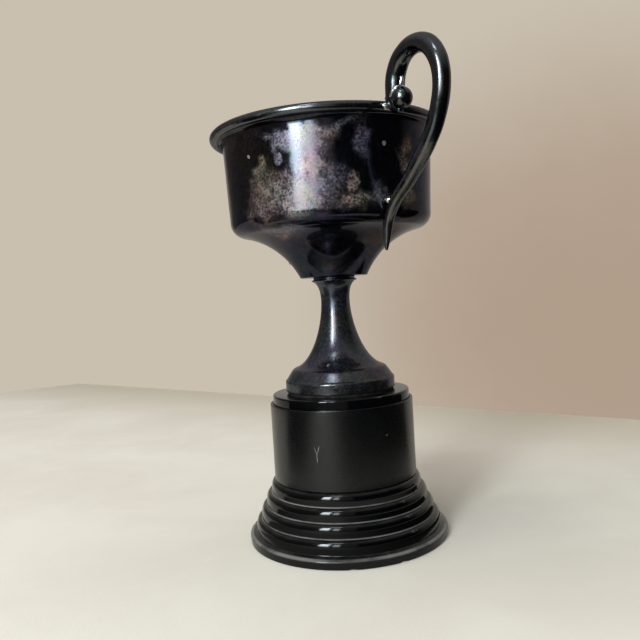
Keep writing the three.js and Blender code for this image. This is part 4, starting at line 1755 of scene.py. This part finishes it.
@dataclass(frozen=True)
class Studio:
    """The floor, the room's soft light, the light panels and the camera.

    Places and sizes are in metres. The room's stops are (azimuth, brightness), going once round from -180
    degrees.
    """

    floor_radius: float = 0.75
    floor_end: tuple[Point, Point] = ((-0.604, 0.074), (-0.190, 0.240))
    card_inner: float = 0.0512
    card_outer: float = 0.900
    card_ends: Point = (-125.0, 85.0)
    backdrop: Colour = (0.510, 0.462, 0.385)
    shaded_backdrop: Colour = (0.395, 0.310, 0.245)
    shade_centre: Place = (-0.60, 0.78, -0.06)
    ceiling: Colour = (0.46, 0.45, 0.43)
    fill_radiance: float = 1.68
    fill_size: float = 1.4
    fill_place: Place = (-0.25, -0.75, 1.3)
    fill_tint: Colour = (1.0, 0.97, 0.92)
    card_height: float = 0.0005
    room_tint: Colour = (1.0, 0.93, 0.84)
    room: tuple[tuple[float, float], ...] = (
        (-180, 0.21),
        (-155, 0.20),
        (-140, 0.18),
        (-100, 0.14),
        (-72, 0.18),
        (-50, 0.36),
        (-23, 0.30),
        (-20, 0.030),
        (55, 0.025),
        (72, 0.32),
        (105, 0.52),
        (150, 0.42),
    )
    panels: tuple[Panel, ...] = (
        Panel(azimuth=-62, spread=12, lowest=9.5, highest=38, radiance=19),
        Panel(azimuth=-62, spread=13, lowest=0.0, highest=9.5, radiance=4),
        Panel(azimuth=-47, spread=8, lowest=4.0, highest=36, radiance=5.5),
        Panel(azimuth=-56, spread=26, lowest=56, highest=64, radiance=8),
    )

    def world(self) -> None:
        """The room's light, and the wall that the camera sees, with a painted shadow on it."""
        world = bpy.data.worlds.new("room")
        bpy.context.scene.world = world
        world.use_nodes = True
        world.node_tree.nodes.clear()
        canvas = Canvas(world.node_tree)
        toward = canvas.add("TexCoord").outputs["Generated"]
        way = canvas.add("SeparateXYZ", {0: toward})
        angle = canvas.math("ARCTAN2", way.outputs["Y"], way.outputs["X"])
        share = canvas.math("MULTIPLY_ADD", angle, 1 / FULL_TURN, 0.5)
        ramp = canvas.add("ValToRGB", {"Fac": share})
        stops = ramp.color_ramp.elements
        while len(stops) < len(self.room):
            stops.new(0.5)
        for stop, (azimuth, brightness) in zip(stops, self.room):
            stop.position = azimuth / 360 + 0.5
            stop.color = (*(brightness * part for part in self.room_tint), 1)
        high_up = canvas.ease(way.outputs["Z"], 0.35, 0.95)
        light = canvas.mix(high_up, ramp.outputs["Color"], self.ceiling)
        centre = tuple(Vector(self.shade_centre).normalized())
        along = canvas.vector("DOT_PRODUCT", toward, centre)
        # Painted shadow on the wall, its edge broken up by noise.
        shadow_edge_noise = canvas.grain(6.0, 4.0, 0.6, vector=toward).outputs["Fac"]
        near = canvas.math("MULTIPLY_ADD", canvas.math("SUBTRACT", shadow_edge_noise, 0.5), 0.03, along)
        wall = canvas.mix(canvas.ease(near, 0.90, 1.0), self.backdrop, self.shaded_backdrop)
        seen = canvas.mix(canvas.add("LightPath").outputs["Is Camera Ray"], light, wall)
        glow = canvas.add("Background", {"Color": seen, "Strength": 1.0})
        canvas.add("OutputWorld", {"Surface": glow.outputs[0]})

    def floor(self, shop: Workshop) -> None:
        """The floor that the cup stands on, cut off straight behind it."""
        mesh = bmesh.new()
        bmesh.ops.create_circle(mesh, cap_ends=True, segments=128, radius=self.floor_radius)
        start, end = (Vector(point) for point in self.floor_end)
        along = (end - start).normalized()
        outward = Vector((-along.y, along.x, 0))
        bmesh.ops.bisect_plane(
            mesh,
            geom=[*mesh.verts, *mesh.edges, *mesh.faces],
            plane_co=start.to_3d(),
            plane_no=outward,
            clear_outer=True,
        )
        shop.show("studio_floor", mesh, FloorCloth("floor_cloth", Slot.FIBRE))

    def card(self, shop: Workshop) -> None:
        """A black card on the floor in front of the cup, seen only in reflections: painted shade that darkens the
        floor where it is reflected.
        """
        mesh = bmesh.new()
        ends = [mesh.verts.new((radius, 0, self.card_height)) for radius in (self.card_inner, self.card_outer)]
        edge = mesh.edges.new(ends)
        start, end = (math.radians(azimuth) for azimuth in self.card_ends)
        bmesh.ops.rotate(mesh, verts=ends, cent=(0, 0, 0), matrix=Matrix.Rotation(start, 3, "Z"))
        spun(mesh, [edge, *ends], end - start, steps=32)
        bmesh.ops.recalc_face_normals(mesh, faces=mesh.faces)
        card = shop.show("reflected_shade_card", mesh, ReflectedShadeCard("reflected_shade_card", Slot.FIBRE))
        card.visible_camera = False
        card.visible_diffuse = False
        card.visible_shadow = False

    def fill(self, middle: Vector) -> None:
        """A broad soft light overhead that leaves no reflection."""
        data = bpy.data.lights.new("fill", "AREA")
        data.shape = "DISK"
        data.size = self.fill_size
        data.energy = self.fill_radiance * math.pi * math.pi * (data.size / 2) ** 2
        data.color = self.fill_tint
        light = bpy.data.objects.new("fill", data)
        light.location = middle + Vector(self.fill_place)
        light.rotation_euler = (light.location - middle).to_track_quat("Z", "Y").to_euler()
        light.visible_camera = False
        light.visible_glossy = False
        bpy.context.scene.collection.objects.link(light)

    def build(self, shop: Workshop) -> None:
        """Sets up the whole studio."""
        low_corner, high_corner = CAD_BOX
        middle = Vector((0, 0, (low_corner[2] + high_corner[2]) / 2))
        Camera().build()
        self.world()
        self.floor(shop)
        self.card(shop)
        self.fill(middle)
        for panel in self.panels:
            panel.build(middle)
        bpy.context.scene.view_settings.view_transform = "Standard"
        bpy.context.scene.view_settings.look = "Medium High Contrast"


# ---- The finishes of this cup ----


def bowl_plate() -> TarnishedPlate:
    """The bowl's plate, with the stains that it has."""
    return TarnishedPlate(
        "bowl_plate",
        Slot.PLATE,
        lilac_marks=(
            cloud(-47, 44.2, 144, 14, 6.5),
            cloud(-33, 44.4, 148.5, 9, 7.5),
            cloud(-40, 44.9, 163, 7, 9),
            cloud(-13.4, 45.0, 164.4, 3.8, 5.5),
            cloud(-25.0, 45.0, 171.0, 10.0, 2.6, 12),
            cloud(-6.0, 44.4, 144.5, 3.5, 4.0, 25),
            cloud(-27.0, 37.0, 126.5, 5.0, 3.5),
            cloud(-45.0, 30.0, 121.0, 11.0, 4.5),
            cloud(-62.0, 38.0, 132.0, 11.0, 4.5),
            cloud(120, 44.5, 155, 14, 10),
            cloud(178, 44.5, 148, 10, 12),
            cloud(65, 44.5, 150, 8, 9),
            cloud(-140, 44.5, 158, 12, 9),
            Mark(-55.7, 44.8, 159.8, 2.0, 2.7, soft=0.15, edge=Edge.CLEAN),
            Mark(-57.5, 44.8, 164.0, 1.2, 4.5, slant=10, soft=0.9),
            Mark(-60, 45.0, 168.5, 3.4, 1.3, slant=-20, soft=0.9),
            cloud(-54.5, 44.8, 166.5, 4.0, 5.0),
        ),
        tan_marks=(
            cloud(-61.0, 44.4, 148.0, 11, 8.0),
            cloud(-71.0, 44.3, 143.0, 6.5, 6.0),
            cloud(-52.0, 44.3, 143.5, 9.0, 5.5),
            cloud(-66.0, 44.7, 157.0, 3.0, 3.6),
            cloud(-33.0, 44.9, 168.0, 6.0, 4.0),
            cloud(-37.0, 44.7, 158.0, 4.5, 6.5),
            cloud(-17.0, 44.2, 142.2, 9.0, 3.6),
            cloud(-48.0, 32.0, 123.0, 14.0, 5.0),
            cloud(-25.0, 24.0, 117.0, 9.0, 4.0),
            cloud(-72.0, 35.0, 127.0, 10.0, 5.0),
            cloud(12.0, 44.5, 152.0, 4.0, 12.0),
            cloud(150, 44.5, 165, 9, 6),
            cloud(90, 44.5, 160, 6, 8),
            cloud(-115, 44.5, 150, 9, 7),
            Mark(-18.9, 44.5, 148.8, 2.8, 4.4, soft=0.35),
        ),
        bare_marks=(
            Mark(-1.5, 45.0, 163.5, 1.0, 1.0, edge=Edge.CLEAN),
            Mark(-74.0, 44.9, 163.0, 0.7, 0.5),
            Mark(-33.5, 44.4, 146.5, 0.6, 0.6),
        ),
    )


def pedestal_plate() -> TarnishedPlate:
    """The pedestal's plate: bluer, and less stained."""
    return TarnishedPlate(
        "pedestal_plate",
        Slot.PLATE,
        film=(0.064, 0.071, 0.088),
        warm_film=(0.070, 0.068, 0.072),
        lilac=(0.140, 0.150, 0.185),
        tan=(0.18, 0.160, 0.135),
        cover=0.29,
        haze=0.05,
        film_rough=0.075,
        bare_marks=(
            Mark(-48, 16.0, 77.0, 0.6, 0.8),
            Mark(-40, 14.0, 79.5, 0.5, 0.9),
        ),
    )


def rim_pewter() -> DarkPewter:
    """The rim wire's finish, worn to bright metal in a few spots."""
    return DarkPewter(
        "rim_pewter",
        Slot.PEWTER,
        stretch=(120.0, 120.0, 900.0),
        bright_marks=(
            Mark(-103, 50.4, 177.6, 2.0, 0.5),
            Mark(-92, 50.2, 177.4, 1.2, 0.4),
        ),
        rubbed_marks=(Mark(-75, 50.0, 177.0, 22, 1.5), Mark(100, 50.0, 177.0, 18, 1.5)),
    )


def handle_pewter() -> DarkPewter:
    """The handles' finish, rubbed grey along the lower bar."""
    return DarkPewter(
        "handle_pewter",
        Slot.PEWTER,
        stretch=(260.0, 1500.0, 260.0),
        rubbed_marks=tuple(
            Mark(azimuth, radius, height, 6, tall, depth=9, edge=Edge.CLOUDY)
            for azimuth in (0, 180)
            for radius, height, tall in ((66, 153, 12), (50, 141, 8), (44, 130, 8))
        ),
    )


def band_paint() -> SatinBlack:
    """The drum band's paint, with a forked scratch and a nick."""
    return SatinBlack(
        "band_paint",
        Slot.SATIN,
        scratches=(
            Mark(-51.7, 31.6, 41.0, 0.11, 2.1, slant=2, soft=0.4, edge=Edge.CLEAN),
            Mark(-52.7, 31.6, 43.9, 0.09, 1.5, slant=16, soft=0.4, edge=Edge.CLEAN),
            Mark(-50.4, 31.6, 44.2, 0.10, 1.8, slant=-14, soft=0.4, edge=Edge.CLEAN),
            Mark(3.4, 31.6, 48.1, 0.55, 0.14, slant=24, soft=0.4, edge=Edge.CLEAN),
        ),
    )


def main() -> None:
    """Builds the studio and the cup, from the plinth up."""
    logging.basicConfig(level=logging.INFO, format="%(name)s: %(message)s")
    shop = Workshop()
    Studio().build(shop)

    steel = PlainSteel("zinc_steel", Slot.STEEL)
    solder = BrightSolder("bright_solder", Slot.SOLDER)
    pewter = handle_pewter()
    bowl = Bowl()
    plinth = Plinth()
    moulding = BlackMoulding("polished_moulding", Slot.MOULDING, worn_edge_and_highlight_lines=plinth.worn_edge_and_crease_highlights())
    plinth.build(shop, moulding, band_paint())
    Clamp().build(shop, steel, BlackFibre("pressed_fibre", Slot.FIBRE))
    Pedestal().build(shop, pedestal_plate(), pewter)
    bowl.build(shop, bowl_plate(), rim_pewter())
    for side in Side:
        Handle(side, bowl).build(shop, pewter, solder)

    bpy.context.view_layer.update()


if __name__ == "__main__":
    main()
